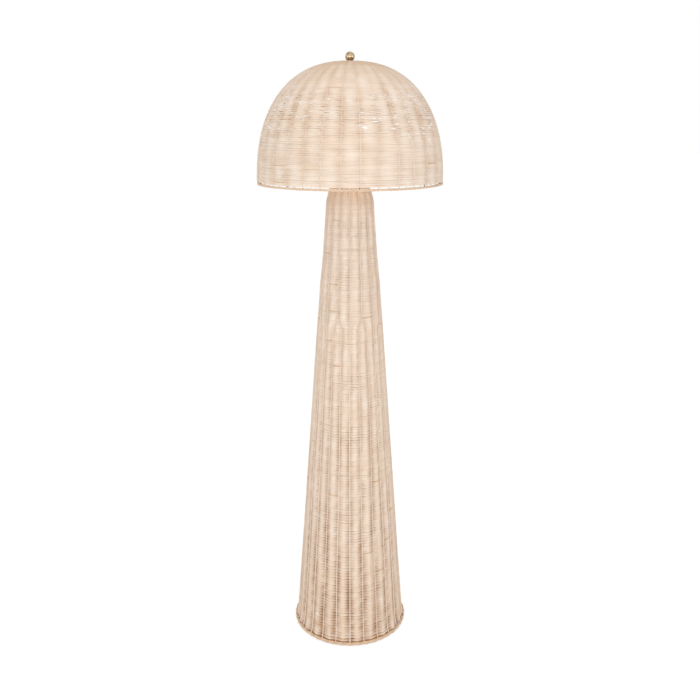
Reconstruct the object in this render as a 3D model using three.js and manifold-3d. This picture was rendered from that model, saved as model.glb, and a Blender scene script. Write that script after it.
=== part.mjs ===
// Rattan mushroom floor lamp: a tapering woven column on a weighted base, and a woven dome shade
// that hangs on a harp over the lamp holder and is held down by a ball finial.
// Millimetres, +Z up, floor at z = 0, the viewer looks along +Y.
// Angles round the lamp are counted from the front, where the viewer stands.

import * as THREE from 'three';
import { mergeVertices } from 'three/addons/utils/BufferGeometryUtils.js';
import Module from 'manifold-3d';

const wasm = await Module();
wasm.setup();

// Gaps between pieces
const seatGap = 0.3;
const runGap = 0.4;
const cutOverrun = 3;

// Feet and base plate
const footCount = 4;
const footRadius = 15;
const footTaper = 2;
const footHeight = 8;
const footCircleRadius = 118;
const plateThickness = 8;
const plateEdgeGap = 1.2;
const plateChamfer = 1.5;

// Threaded hardware
const nippleRadius = 4.8;
const nippleBoreRadius = 3.2;
const baseNippleHeight = 34;
const nutAcrossFlats = 15;
const nutHeight = 4;
const washerThickness = 1.5;
const baseWasherRadius = 14;
const flangeRadius = 24;
const flangeThickness = 3;

// Centre pole
const poleRadius = 8;
const poleWall = 1.5;
const insertLength = 20;

// Woven column: the outer face over its ribs
const borderFloorGap = 2;
const columnBorderRadius = 4.4;
const columnFootRadius = 155.3;
const footFlare = 5.7;
const footFlareHeight = 40;
const taperTopHeight = 1000;
const taperTopRadius = 80.6;
const forkDrop = 80;
const forkLength = 40;
const throatRise = 58;
const throatRadius = 74.2;
const collarRise = 135;
const shoulderStartRadius = 64.2;
const shoulderRise = 71;
const neckOpeningRadius = 28;
const columnWall = 4;
const footRibDepth = 4;
const neckRibDepth = 2;
const stakesBelowFork = 48;
const flareRows = 2;
const shoulderRows = 4;

// Welded frame of the column
const frameWireRadius = 2;
const frameHoopWireRadius = 2.4;
const frameRodCount = 8;
const hoopHeightShares = [0.35, 0.7];

// Cord grommet at the back of the foot
const grommetHeight = 34;
const grommetRadius = 7;
const grommetBoreRadius = 3.75;
const grommetFlangeRadius = 10;
const grommetFlangeThickness = 2.5;
const grommetInnerLength = 3;

// Neck
const neckCapRadius = 36;
const neckCapThickness = 2;
const neckCapLip = 1.2;

// Harp and its saddle
const saddleWidth = 12;
const saddleThickness = 1.6;
const harpLegOffset = 26;
const harpPostRadius = 2.5;
const harpPostHeight = 6;
const harpWireRadius = 1.6;
const harpHeight = 262.6;
const harpHalfWidth = 56;
const harpLegStraight = 30;
const harpFerruleLength = 16;
const harpBowShares = [[0.62, 0.2], [0.9, 0.33], [1, 0.47], [0.96, 0.62], [0.78, 0.79], [0.48, 0.92], [0.2, 0.98]];
const harpCollarRadius = 8;
const harpCollarThickness = 3.6;
const sleeveWall = 1.3;
const sleeveHeight = 12;
const studRadius = 3.2;

// Lamp holder and its switch
const holderRadius = 18.9;
const holderWall = 0.9;
const holderCapNeckRadius = 10;
const holderCapConeHeight = 8;
const holderCapRimHeight = 7;
const holderNippleReach = 6;
const shellHeight = 48;
const shellLipHeight = 2;
const shellLipWidth = 0.7;
const screwBoreDepth = 25;
const switchRise = 9;
const switchShaftRadius = 2;
const switchShaftDepth = 6;
const knobStandOff = 4;
const knobRadius = 7.5;
const knobLength = 13;
const knobBoreDepth = 8;
const knobRound = 1.5;

// Bulb
const bulbCapRadius = 13.1;
const bulbCapHeight = 22;
const bulbContactRadius = 4.5;
const bulbContactHeight = 3;
const bulbRadius = 30;
const bulbGlassHeight = 86;
const bulbWall = 1.2;
const bulbOutlineShares = [[0.46, 0], [0.48, 0.12], [0.66, 0.3], [0.92, 0.48], [1, 0.64], [0.9, 0.82], [0.62, 0.94],
  [0.3, 0.99]];

// Woven shade: the outer face over its ribs
const shadeRadius = 240;
const shadeHeight = 303.1;
const shadeRoundness = 2.36;
const shadeWall = 4;
const shadeRibDepth = 2;
const shadeStakes = 64;
const shadeRows = 9;
const shadeBorderRadius = 3.25;
const rimSlot = 4.6;
const apexOverHub = 16.1;

// Frame, crown and finial of the shade
const shadeWireRadius = 1.6;
const shadeHoopWireRadius = 2;
const shadeRibCount = 8;
const middleHoopRows = 5;
const hubRadius = 20;
const hubThickness = 3.8;
const crownRadius = 30;
const crownWeaveGap = 0.8;
const crownThickness = 6.2;
const crownEdgeRise = 2;
const crownEdgeDrop = 1.3;
const crownDishRadius = 20;
const crownDishRise = 1;
const seatWasherRadius = 11;
const finialRadius = 12;
const finialStem = 13.7;
const finialNeckRadius = 5.2;
const finialNeckHeight = 2;
const finialWaistShare = 0.83;
const finialBoreDepth = 13;

// Facets
const fineFacets = 36;
const midFacets = 24;
const smallFacets = 16;
const wireFacets = 5;
const frameFacets = 4;
const borderFacets = 6;
const harpSteps = 32;
const ballRows = 9;
const glassRows = 10;

// Heights, from the floor up
const plateBottom = footHeight + seatGap;
const plateTop = plateBottom + plateThickness;
const baseWasherBottom = plateBottom - seatGap - washerThickness;
const baseNutBottom = baseWasherBottom - seatGap - nutHeight;
const flangeBottom = plateTop + seatGap;
const poleBottom = flangeBottom + flangeThickness + seatGap;
const columnBottom = borderFloorGap + 2 * columnBorderRadius + seatGap;
const forkEndHeight = taperTopHeight - forkDrop;
const forkStartHeight = forkEndHeight - forkLength;
const throatHeight = taperTopHeight + throatRise;
const shoulderStartHeight = throatHeight + collarRise;
const columnTop = shoulderStartHeight + shoulderRise;
const neckCapBottom = columnTop + seatGap;
const neckNutBottom = neckCapBottom + neckCapThickness + seatGap;
const saddleBottom = neckNutBottom + nutHeight + seatGap;
const saddleTop = saddleBottom + saddleThickness;
const holderBottom = saddleTop + seatGap;
const shellBottom = holderBottom + holderCapConeHeight + holderWall;
const holderBodyTop = shellBottom + shellHeight - shellLipHeight;
const screwBoreBottom = holderBodyTop - screwBoreDepth;
const switchAxisHeight = shellBottom + switchRise;
const bulbCapBottom = screwBoreBottom + seatGap;
const bulbGlassBottom = bulbCapBottom + bulbContactHeight + bulbCapHeight + seatGap;
const harpFoot = saddleTop + harpPostHeight + seatGap;
const harpTop = harpFoot + harpHeight;
const seatWasherBottom = harpTop + seatGap;
const hubBottom = seatWasherBottom + washerThickness + seatGap;
const crownBottom = hubBottom + hubThickness + seatGap;
const crownSeat = crownBottom + crownThickness;
const finialWasherBottom = crownSeat + seatGap;
const finialBottom = finialWasherBottom + washerThickness + seatGap;
const shadeApex = hubBottom + apexOverHub;
const shadeRim = shadeApex - shadeHeight;
const studTop = finialBottom + finialBoreDepth - runGap;

// Fits
const nippleHoleRadius = nippleRadius + runGap;
const studHoleRadius = studRadius + runGap;
const switchHoleRadius = switchShaftRadius + runGap;
const shellRadius = holderRadius - holderWall - seatGap;
const linerRadius = shellRadius - holderWall - seatGap;
const holderBodyRadius = linerRadius - holderWall - seatGap;

// Finishes
const rattan = finish(0xe2cbb4, 0.62, 0);
const palePeel = finish(0xe6d0b8, 0.55, 0);
const blackSteel = finish(0x2b2a29, 0.5, 0.7);
const zincSteel = finish(0xb9bab8, 0.35, 0.9);
const antiqueBrass = finish(0xa88f63, 0.32, 0.95);
const aluminium = finish(0xc9cacb, 0.3, 0.95);
const blackRubber = finish(0x1f1e1d, 0.85, 0);
const darkPlastic = finish(0x26211e, 0.45, 0);
const insulatingPaper = finish(0xb99f7d, 0.9, 0);
const opalGlass = finish(0xf6f2ea, 0.25, 0);

function finish(color, roughness, metalness) {
  return new THREE.MeshStandardMaterial({ color, roughness, metalness });
}

function part(name, geometry, material, height = 0) {
  const mesh = new THREE.Mesh(geometry, material);
  mesh.name = name;
  mesh.position.z = height;
  return mesh;
}

// A closed [radius, height] outline turned about Z
function turned(outline, facets = smallFacets) {
  const points = outline.map(([radius, height]) => new THREE.Vector2(radius, height));
  return new THREE.LatheGeometry(points, facets).rotateX(Math.PI / 2);
}

function ringOutline(inner, outer, bottom, top) {
  return [[inner, bottom], [outer, bottom], [outer, top], [inner, top], [inner, bottom]];
}

function ring(inner, outer, height, facets = smallFacets) {
  return turned(ringOutline(inner, outer, 0, height), facets);
}

function rod(radius, bottom, top, facets = smallFacets) {
  return turned([[0, bottom], [radius, bottom], [radius, top], [0, top]], facets);
}

function hoop(radius, height, wireRadius, sides, facets) {
  return new THREE.TorusGeometry(radius, wireRadius, sides, facets).translate(0, 0, height);
}

// A path that is sampled at its own stations, however far apart they are
class StationPath extends THREE.Curve {
  constructor(stations) {
    super();
    this.stations = stations;
  }

  getUtoTmapping(share) {
    return share;
  }

  getPoint(share, target = new THREE.Vector3()) {
    const place = THREE.MathUtils.clamp(share, 0, 1) * (this.stations.length - 1);
    const index = Math.min(Math.floor(place), this.stations.length - 2);
    return target.lerpVectors(this.stations[index], this.stations[index + 1], place - index);
  }
}

function wire(path, steps, radius, facets) {
  const corners = Array.from({ length: facets }, (_, index) => {
    const angle = (index / facets) * 2 * Math.PI;
    return new THREE.Vector2(radius * Math.cos(angle), radius * Math.sin(angle));
  });
  const settings = { steps, bevelEnabled: false, extrudePath: path };
  return new THREE.ExtrudeGeometry(new THREE.Shape(corners), settings);
}

// A wire in the front half of the lamp's middle plane, through Vector2(radius, height) stations
function meridianWire(stations, radius) {
  const path = new StationPath(stations.map(({ x, y }) => new THREE.Vector3(0, -x, y)));
  return wire(path, stations.length - 1, radius, frameFacets);
}

function toSolid(geometry) {
  const bare = geometry.clone();
  bare.deleteAttribute('normal');
  bare.deleteAttribute('uv');
  const merged = mergeVertices(bare);
  const corners = merged.index.array;
  const triVerts = [];
  for (let start = 0; start < corners.length; start += 3) {
    const [a, b, c] = corners.slice(start, start + 3);
    if (a !== b && b !== c && c !== a) triVerts.push(a, b, c);
  }
  const vertProperties = merged.attributes.position.array;
  return new wasm.Manifold(new wasm.Mesh({ numProp: 3, vertProperties, triVerts: new Uint32Array(triVerts) }));
}

function toGeometry(solid) {
  const mesh = solid.getMesh();
  const geometry = new THREE.BufferGeometry();
  geometry.setAttribute('position', new THREE.BufferAttribute(mesh.vertProperties, 3));
  geometry.setIndex(new THREE.BufferAttribute(mesh.triVerts, 1));
  geometry.computeVertexNormals();
  return geometry;
}

function join(...geometries) {
  return toGeometry(geometries.map(toSolid).reduce((whole, piece) => whole.add(piece)));
}

function cut(geometry, ...cutters) {
  return toGeometry(cutters.map(toSolid).reduce((whole, cutter) => whole.subtract(cutter), toSolid(geometry)));
}

// Outward directions of an outline that climbs from its first point to its last
function outwardNormals(outline) {
  return outline.map((_, index) => {
    const before = outline[Math.max(index - 1, 0)];
    const after = outline[Math.min(index + 1, outline.length - 1)];
    const along = after.clone().sub(before).normalize();
    return new THREE.Vector2(along.y, -along.x);
  });
}

function movedInwards(outline, distances) {
  const normals = outwardNormals(outline);
  return outline.map((point, index) => point.clone().addScaledVector(normals[index], -distances[index]));
}

// A woven wall: its outline turned about Z, with the exposed stakes sunk between the ribs.
// isSunk(stake, point) says where the wall dives behind an exposed stake.
function wovenWall(outline, wall, ribDepths, stakes, isSunk) {
  const inner = movedInwards(outline, outline.map(() => wall));
  const normals = outwardNormals(outline);
  const profile = [...outline, ...[...inner].reverse(), outline[0]];
  const rows = [...outline.keys(), ...[...outline.keys()].reverse(), 0];
  const geometry = new THREE.LatheGeometry(profile, stakes);
  const position = geometry.attributes.position;
  for (let index = 0; index < position.count; index += 1) {
    const stake = Math.floor(index / profile.length) % stakes;
    const row = rows[index % profile.length];
    if (!isSunk(stake, outline[row])) continue;
    const angle = (stake / stakes) * 2 * Math.PI;
    const point = profile[index % profile.length];
    const radius = point.x - ribDepths[row] * normals[row].x;
    const height = point.y - ribDepths[row] * normals[row].y;
    position.setXYZ(index, radius * Math.sin(angle), height, radius * Math.cos(angle));
  }
  return geometry.rotateX(Math.PI / 2);
}

function columnRadius(height) {
  if (height < taperTopHeight) {
    const taper = THREE.MathUtils.lerp(columnFootRadius, taperTopRadius, height / taperTopHeight);
    return taper + footFlare * Math.max(0, 1 - height / footFlareHeight) ** 2;
  }
  if (height < throatHeight) {
    return THREE.MathUtils.mapLinear(height, taperTopHeight, throatHeight, taperTopRadius, throatRadius);
  }
  return THREE.MathUtils.mapLinear(height, throatHeight, shoulderStartHeight, throatRadius, shoulderStartRadius);
}

function columnRibDepth(height) {
  return THREE.MathUtils.lerp(footRibDepth, neckRibDepth, Math.min(height / shoulderStartHeight, 1));
}

function columnInnerRadius(height) {
  return columnRadius(height) - columnRibDepth(height) - columnWall;
}

// The column's outline from its border to its neck opening
function columnOutline() {
  const heights = [];
  for (let row = 0; row <= flareRows; row += 1) {
    heights.push(THREE.MathUtils.lerp(columnBottom, footFlareHeight, row / flareRows));
  }
  heights.push(forkStartHeight, forkEndHeight, taperTopHeight, throatHeight, shoulderStartHeight);
  const outline = heights.map((height) => new THREE.Vector2(columnRadius(height), height));
  for (let row = 1; row <= shoulderRows; row += 1) {
    const angle = (row / shoulderRows) * (Math.PI / 2);
    const radius = THREE.MathUtils.lerp(neckOpeningRadius, shoulderStartRadius, Math.cos(angle));
    outline.push(new THREE.Vector2(radius, shoulderStartHeight + shoulderRise * Math.sin(angle)));
  }
  return outline;
}

function columnWeave() {
  const outline = columnOutline();
  const ribDepths = outline.map(({ y }) => columnRibDepth(y));
  // An exposed stake faces the viewer. Below the fork it is every second stake, above it every third
  const isSunk = (stake, { y }) => stake % (y <= forkStartHeight ? 2 : 3) === 0;
  const wall = wovenWall(outline, columnWall, ribDepths, stakesBelowFork, isSunk);
  const back = columnRadius(grommetHeight);
  const hole = rod(grommetRadius + seatGap, 0, 2 * grommetFlangeRadius + 2 * cutOverrun, smallFacets)
    .rotateX(-Math.PI / 2)
    .translate(0, back - grommetFlangeRadius - cutOverrun, grommetHeight);
  return part('column_weave', cut(wall, hole), rattan);
}

function columnBorder() {
  const radius = columnRadius(0) - columnBorderRadius;
  const geometry = hoop(radius, 0, columnBorderRadius, borderFacets, stakesBelowFork);
  return part('column_border', geometry, palePeel, borderFloorGap + columnBorderRadius);
}

function columnFrame() {
  const outline = columnOutline();
  const insets = outline.map(({ y }) => columnRibDepth(y) + columnWall + seatGap + frameWireRadius);
  const hoopRadius = (height) => columnInnerRadius(height) - seatGap - frameHoopWireRadius;
  const bottomHoopHeight = plateTop + seatGap + frameHoopWireRadius;
  const line = movedInwards(outline, insets).filter(({ y }) => y > bottomHoopHeight).slice(0, -1);
  line.unshift(new THREE.Vector2(hoopRadius(bottomHoopHeight), bottomHoopHeight));
  const firstStake = 2 / stakesBelowFork;
  const pieces = [];
  for (let index = 0; index < frameRodCount; index += 1) {
    const angle = (firstStake + index / frameRodCount) * 2 * Math.PI;
    pieces.push(meridianWire(line, frameWireRadius).rotateZ(angle));
  }
  const hoopHeights = [bottomHoopHeight, ...hoopHeightShares.map((share) => share * shoulderStartHeight)];
  for (const height of hoopHeights) {
    pieces.push(hoop(hoopRadius(height), height, frameHoopWireRadius, frameFacets, midFacets));
  }
  const { x, y } = line.at(-1);
  pieces.push(hoop(x, y, frameWireRadius, frameFacets, midFacets));
  return part('column_frame', join(...pieces), blackSteel);
}

function cordGrommet() {
  const mouth = columnRadius(grommetHeight - grommetFlangeRadius) + seatGap;
  const innerEnd = columnInnerRadius(grommetHeight) - grommetInnerLength;
  const length = mouth - innerEnd;
  const outline = [
    [grommetBoreRadius, 0],
    [grommetRadius, 0],
    [grommetRadius, length],
    [grommetFlangeRadius, length],
    [grommetFlangeRadius - grommetFlangeThickness / 2, length + grommetFlangeThickness],
    [grommetBoreRadius, length + grommetFlangeThickness],
    [grommetBoreRadius, 0],
  ];
  const mesh = part('cord_grommet', turned(outline, smallFacets).rotateX(-Math.PI / 2), blackRubber);
  mesh.position.set(0, innerEnd, grommetHeight);
  return mesh;
}

function feet() {
  const geometry = new THREE.CylinderGeometry(footRadius - footTaper, footRadius, footHeight, smallFacets);
  geometry.rotateX(Math.PI / 2);
  return Array.from({ length: footCount }, (_, index) => {
    const angle = ((index + 0.5) / footCount) * 2 * Math.PI;
    const foot = part(`foot_${index + 1}`, geometry, blackRubber);
    foot.position.set(footCircleRadius * Math.sin(angle), -footCircleRadius * Math.cos(angle), footHeight / 2);
    return foot;
  });
}

function basePlate() {
  const radius = columnInnerRadius(plateTop) - plateEdgeGap;
  const outline = [
    [nippleHoleRadius, 0],
    [radius - plateChamfer, 0],
    [radius, plateChamfer],
    [radius, plateThickness - plateChamfer],
    [radius - plateChamfer, plateThickness],
    [nippleHoleRadius, plateThickness],
    [nippleHoleRadius, 0],
  ];
  return part('base_plate', turned(outline, fineFacets), blackSteel, plateBottom);
}

function nut(name, height) {
  const outerRadius = nutAcrossFlats / Math.sqrt(3);
  const outline = ringOutline(nippleHoleRadius, outerRadius + cutOverrun, 0, nutHeight);
  const hexagon = new THREE.CylinderGeometry(outerRadius, outerRadius, nutHeight, 6);
  hexagon.rotateX(Math.PI / 2).translate(0, 0, nutHeight / 2);
  const solid = toSolid(turned(outline)).intersect(toSolid(hexagon));
  return part(name, toGeometry(solid), zincSteel, height);
}

function nipple(name, bottom, top) {
  return part(name, ring(nippleBoreRadius, nippleRadius, top - bottom), zincSteel, bottom);
}

function poleInsert(name, bottom) {
  const geometry = ring(nippleRadius + seatGap, poleRadius - poleWall - seatGap, insertLength);
  return part(name, geometry, zincSteel, bottom);
}

function base() {
  return [
    ...feet(),
    basePlate(),
    part('base_washer', ring(nippleHoleRadius, baseWasherRadius, washerThickness), zincSteel, baseWasherBottom),
    nut('base_nut', baseNutBottom),
    nipple('base_nipple', baseNutBottom, baseNutBottom + baseNippleHeight),
    part('base_flange', ring(nippleHoleRadius, flangeRadius, flangeThickness), zincSteel, flangeBottom),
  ];
}

function pole() {
  const length = columnTop - poleBottom;
  return [
    part('centre_pole', ring(poleRadius - poleWall, poleRadius, length), blackSteel, poleBottom),
    poleInsert('lower_pole_insert', poleBottom),
    poleInsert('upper_pole_insert', columnTop - insertLength),
    nipple('neck_nipple', columnTop - insertLength, holderBottom + holderNippleReach),
  ];
}

function neckCap() {
  const lip = neckCapRadius - neckCapLip;
  const outline = [
    [nippleHoleRadius, 0],
    [lip, 0],
    [neckCapRadius, neckCapThickness / 2],
    [lip, neckCapThickness],
    [nippleHoleRadius, neckCapThickness],
    [nippleHoleRadius, 0],
  ];
  return part('neck_cap', turned(outline, midFacets), blackSteel, neckCapBottom);
}

function harpSaddle() {
  const reach = 2 * (harpLegOffset + 2 * harpPostRadius);
  const strip = new THREE.BoxGeometry(reach, saddleWidth, saddleThickness).translate(0, 0, saddleThickness / 2);
  const post = (side) => rod(harpPostRadius, saddleThickness / 2, saddleThickness + harpPostHeight)
    .translate(side * harpLegOffset, 0, 0);
  const hole = rod(nippleHoleRadius, -cutOverrun, saddleThickness + cutOverrun);
  const geometry = cut(join(strip, post(-1), post(1)), hole);
  return part('harp_saddle', geometry, zincSteel, saddleBottom);
}

function switchHole(inner, outer) {
  return rod(switchHoleRadius, inner, outer)
    .rotateX(Math.PI / 2)
    .translate(0, 0, switchAxisHeight - shellBottom);
}

function holderCap() {
  const top = holderCapConeHeight + holderCapRimHeight;
  const outline = [
    [nippleHoleRadius, 0],
    [holderCapNeckRadius, 0],
    [holderRadius, holderCapConeHeight],
    [holderRadius, top],
    [holderRadius - holderWall, top],
    [holderRadius - holderWall, holderCapConeHeight + holderWall / 2],
    [holderCapNeckRadius - holderWall / 2, holderWall],
    [nippleHoleRadius, holderWall],
    [nippleHoleRadius, 0],
  ];
  return part('holder_cap', turned(outline, midFacets), antiqueBrass, holderBottom);
}

function holderShell() {
  const inner = shellRadius - holderWall;
  const outline = [
    [inner, 0],
    [shellRadius, 0],
    [shellRadius, shellHeight - shellLipHeight],
    [shellRadius + shellLipWidth, shellHeight - shellLipHeight / 2],
    [shellRadius, shellHeight],
    [inner, shellHeight],
    [inner, 0],
  ];
  const geometry = cut(turned(outline, midFacets), switchHole(0, shellRadius + cutOverrun));
  return part('holder_shell', geometry, antiqueBrass, shellBottom);
}

function holderLiner() {
  const tube = ring(linerRadius - holderWall, linerRadius, shellHeight - shellLipHeight, midFacets);
  return part('holder_liner', cut(tube, switchHole(0, linerRadius + cutOverrun)), insulatingPaper, shellBottom);
}

function holderBody() {
  const height = holderBodyTop - shellBottom;
  const boreRadius = bulbCapRadius + runGap;
  const boreBottom = screwBoreBottom - shellBottom;
  const outline = [
    [0, 0],
    [holderBodyRadius, 0],
    [holderBodyRadius, height],
    [boreRadius, height],
    [boreRadius, boreBottom],
    [0, boreBottom],
  ];
  const geometry = cut(turned(outline, midFacets), switchHole(holderBodyRadius - switchShaftDepth, linerRadius));
  return part('holder_body', geometry, darkPlastic, shellBottom);
}

function lampHolder() {
  return [holderCap(), holderShell(), holderLiner(), holderBody()];
}

// The shaft and the knob are turned about Z, then laid to point at the viewer
function lampSwitch() {
  const shaftEnd = shellRadius + knobStandOff + knobBoreDepth - seatGap;
  const shaft = rod(switchShaftRadius, holderBodyRadius - switchShaftDepth + seatGap, shaftEnd);
  const knobOutline = [
    [0, knobBoreDepth],
    [switchShaftRadius + seatGap, knobBoreDepth],
    [switchShaftRadius + seatGap, 0],
    [knobRadius - knobRound, 0],
    [knobRadius, knobRound],
    [knobRadius - knobRound / 2, knobLength - knobRound],
    [knobRadius - 2 * knobRound, knobLength],
    [0, knobLength],
  ];
  const knob = turned(knobOutline).translate(0, 0, shellRadius + knobStandOff);
  const pointing = (geometry) => geometry.rotateX(Math.PI / 2);
  return [
    part('switch_shaft', pointing(shaft), zincSteel, switchAxisHeight),
    part('switch_knob', pointing(knob), darkPlastic, switchAxisHeight),
  ];
}

function bulb() {
  const capTop = bulbContactHeight + bulbCapHeight;
  const capOutline = [
    [0, 0],
    [bulbContactRadius, 0],
    [bulbContactRadius + bulbContactHeight / 2, bulbContactHeight / 2],
    [bulbCapRadius, bulbContactHeight],
    [bulbCapRadius, capTop],
    [0, capTop],
  ];
  const glassStations = bulbOutlineShares.map(([radiusShare, heightShare]) =>
    new THREE.Vector2(radiusShare * bulbRadius, heightShare * bulbGlassHeight));
  const outside = new THREE.SplineCurve(glassStations).getPoints(glassRows);
  const crest = [new THREE.Vector2(0, bulbGlassHeight), new THREE.Vector2(0, bulbGlassHeight - bulbWall)];
  const inside = movedInwards(outside, outside.map(() => bulbWall)).reverse();
  const glassOutline = [...outside, ...crest, ...inside, outside[0]].map(({ x, y }) => [x, y]);
  return [
    part('bulb_cap', turned(capOutline, midFacets), aluminium, bulbCapBottom),
    part('bulb_glass', turned(glassOutline), opalGlass, bulbGlassBottom),
  ];
}

// The harp stands in the plane across the viewer's sight, its feet at its own z = 0
function harpBow() {
  const leg = [0, 0.5, 1].map((share) => [harpLegOffset, share * harpLegStraight]);
  const bow = harpBowShares.map(([widthShare, heightShare]) => [widthShare * harpHalfWidth, heightShare * harpHeight]);
  const right = [...leg, ...bow].map(([x, z]) => new THREE.Vector3(x, 0, z));
  const crest = new THREE.Vector3(0, 0, harpHeight - harpCollarThickness / 2);
  const left = right.map(({ x, z }) => new THREE.Vector3(-x, 0, z)).reverse();
  return wire(new THREE.CatmullRomCurve3([...right, crest, ...left]), harpSteps, harpWireRadius, wireFacets);
}

function harp() {
  const ferrule = (side) => rod(harpPostRadius, 0, harpFerruleLength).translate(side * harpLegOffset, 0, 0);
  const collar = rod(harpCollarRadius, harpHeight - harpCollarThickness, harpHeight, midFacets);
  const stud = rod(studRadius, harpHeight - harpCollarThickness, studTop - harpFoot);
  return part('harp', join(harpBow(), ferrule(-1), ferrule(1), collar, stud), antiqueBrass, harpFoot);
}

function harpSleeve(name, side) {
  const bore = harpPostRadius + runGap;
  const sleeve = part(name, ring(bore, bore + sleeveWall, sleeveHeight, smallFacets), antiqueBrass, saddleTop + seatGap);
  sleeve.position.x = side * harpLegOffset;
  return sleeve;
}

// The shade's outline as a superellipse, from above its rim slot to its crown, rim at z = 0
function shadeOutline() {
  const power = 2 / shadeRoundness;
  const lowest = 2 * shadeBorderRadius + rimSlot;
  const start = Math.asin((lowest / shadeHeight) ** (1 / power));
  const end = Math.acos(((crownRadius + crownWeaveGap) / shadeRadius) ** (1 / power));
  return Array.from({ length: shadeRows + 1 }, (_, row) => {
    const angle = THREE.MathUtils.lerp(start, end, row / shadeRows);
    return new THREE.Vector2(shadeRadius * Math.cos(angle) ** power, shadeHeight * Math.sin(angle) ** power);
  });
}

function shadeWeave() {
  const outline = shadeOutline();
  const ribDepths = outline.map(({ x }) => shadeRibDepth * Math.min(1, (2 * x) / shadeRadius));
  const geometry = wovenWall(outline, shadeWall, ribDepths, shadeStakes, (stake) => stake % 2 === 1);
  return part('shade_weave', geometry, rattan, shadeRim);
}

function shadeBorder() {
  const radius = shadeRadius - shadeBorderRadius;
  const geometry = hoop(radius, 0, shadeBorderRadius, borderFacets, shadeStakes);
  return part('shade_border', geometry, palePeel, shadeRim + shadeBorderRadius);
}

function shadeFrame() {
  const outline = shadeOutline();
  const insets = outline.map(() => shadeRibDepth + shadeWall + seatGap + shadeWireRadius);
  const line = movedInwards(outline, insets);
  const rimRadius = shadeRadius - 2 * shadeBorderRadius - seatGap - shadeHoopWireRadius;
  const hubHeight = hubBottom - shadeRim;
  const rimPoint = new THREE.Vector2(rimRadius, shadeBorderRadius);
  const hubPoint = new THREE.Vector2(hubRadius - shadeWireRadius, hubHeight + hubThickness / 2);
  const stations = [rimPoint, ...line.slice(0, -1), hubPoint];
  const hub = ring(studHoleRadius, hubRadius, hubThickness).translate(0, 0, hubHeight);
  const pieces = [hub];
  for (let index = 0; index < shadeRibCount; index += 1) {
    const angle = (1 / shadeStakes + index / shadeRibCount) * 2 * Math.PI;
    pieces.push(meridianWire(stations, shadeWireRadius).rotateZ(angle));
  }
  const middle = line[middleHoopRows];
  pieces.push(hoop(middle.x, middle.y, shadeWireRadius, frameFacets, fineFacets));
  pieces.push(hoop(rimRadius, shadeBorderRadius, shadeHoopWireRadius, frameFacets, fineFacets));
  return part('shade_frame', join(...pieces), blackSteel, shadeRim);
}

function shadeCrown() {
  const edgeTop = shadeApex - crownEdgeDrop - crownBottom;
  const outline = [
    [studHoleRadius, 0],
    [hubRadius, 0],
    [crownRadius, crownEdgeRise],
    [crownRadius, edgeTop],
    [crownDishRadius, crownThickness + crownDishRise],
    [seatWasherRadius + crownDishRise, crownThickness],
    [studHoleRadius, crownThickness],
    [studHoleRadius, 0],
  ];
  return part('shade_crown', turned(outline, fineFacets), palePeel, crownBottom);
}

function finial() {
  const waistAngle = Math.asin((finialWaistShare * finialNeckRadius) / finialRadius);
  const ball = Array.from({ length: ballRows }, (_, index) => {
    const angle = THREE.MathUtils.lerp(waistAngle, Math.PI, index / ballRows);
    return [finialRadius * Math.sin(angle), finialStem - finialRadius * Math.cos(angle)];
  });
  const outline = [
    [0, finialBoreDepth],
    [studHoleRadius, finialBoreDepth],
    [studHoleRadius, 0],
    [finialNeckRadius, 0],
    [finialNeckRadius, finialNeckHeight],
    ...ball,
    [0, finialStem + finialRadius],
  ];
  return part('finial', turned(outline), antiqueBrass, finialBottom);
}

function seatWasher(name, bottom) {
  return part(name, ring(studHoleRadius, seatWasherRadius, washerThickness), antiqueBrass, bottom);
}

function groupOf(...meshes) {
  const group = new THREE.Group();
  group.add(...meshes);
  return group;
}

const column = groupOf(columnBorder(), columnWeave(), columnFrame(), cordGrommet(), ...pole(), neckCap());
const light = groupOf(nut('neck_nut', neckNutBottom), harpSaddle(), ...lampHolder(), ...lampSwitch(), ...bulb());
const shade = groupOf(shadeFrame(), shadeWeave(), shadeBorder(), shadeCrown());
const shadeHanger = groupOf(
  harp(),
  harpSleeve('left_harp_sleeve', -1),
  harpSleeve('right_harp_sleeve', 1),
  seatWasher('seat_washer', seatWasherBottom),
);
const top = groupOf(seatWasher('finial_washer', finialWasherBottom), finial());
const lamp = groupOf(groupOf(...base()), column, light, shadeHanger, shade, top);

export default lamp;
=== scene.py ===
"""Looks of a rattan mushroom floor lamp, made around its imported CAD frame.

Metres, +Z up, the floor at z = 0, the viewer looks along +Y. Angles round the lamp are counted from
the front, where the viewer stands, and distances along a profile from its lower end.
"""

import logging
import math
from abc import ABC, abstractmethod
from dataclasses import dataclass, field
from enum import Enum

import bmesh
import bpy
import numpy as np
from mathutils import Matrix, Vector


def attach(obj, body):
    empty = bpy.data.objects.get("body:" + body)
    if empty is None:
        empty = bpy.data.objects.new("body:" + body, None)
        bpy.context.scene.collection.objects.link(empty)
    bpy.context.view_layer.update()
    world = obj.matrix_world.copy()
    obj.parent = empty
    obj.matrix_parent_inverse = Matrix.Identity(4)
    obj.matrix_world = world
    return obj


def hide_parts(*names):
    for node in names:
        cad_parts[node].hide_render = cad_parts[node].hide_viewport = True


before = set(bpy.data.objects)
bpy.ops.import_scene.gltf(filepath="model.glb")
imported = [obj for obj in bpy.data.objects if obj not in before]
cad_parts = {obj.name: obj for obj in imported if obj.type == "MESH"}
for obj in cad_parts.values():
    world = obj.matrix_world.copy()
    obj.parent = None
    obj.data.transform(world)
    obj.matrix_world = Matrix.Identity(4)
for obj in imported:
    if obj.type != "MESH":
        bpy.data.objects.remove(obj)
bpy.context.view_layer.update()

LOG = logging.getLogger("rattan_lamp")
TURN = 2 * math.pi

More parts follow.
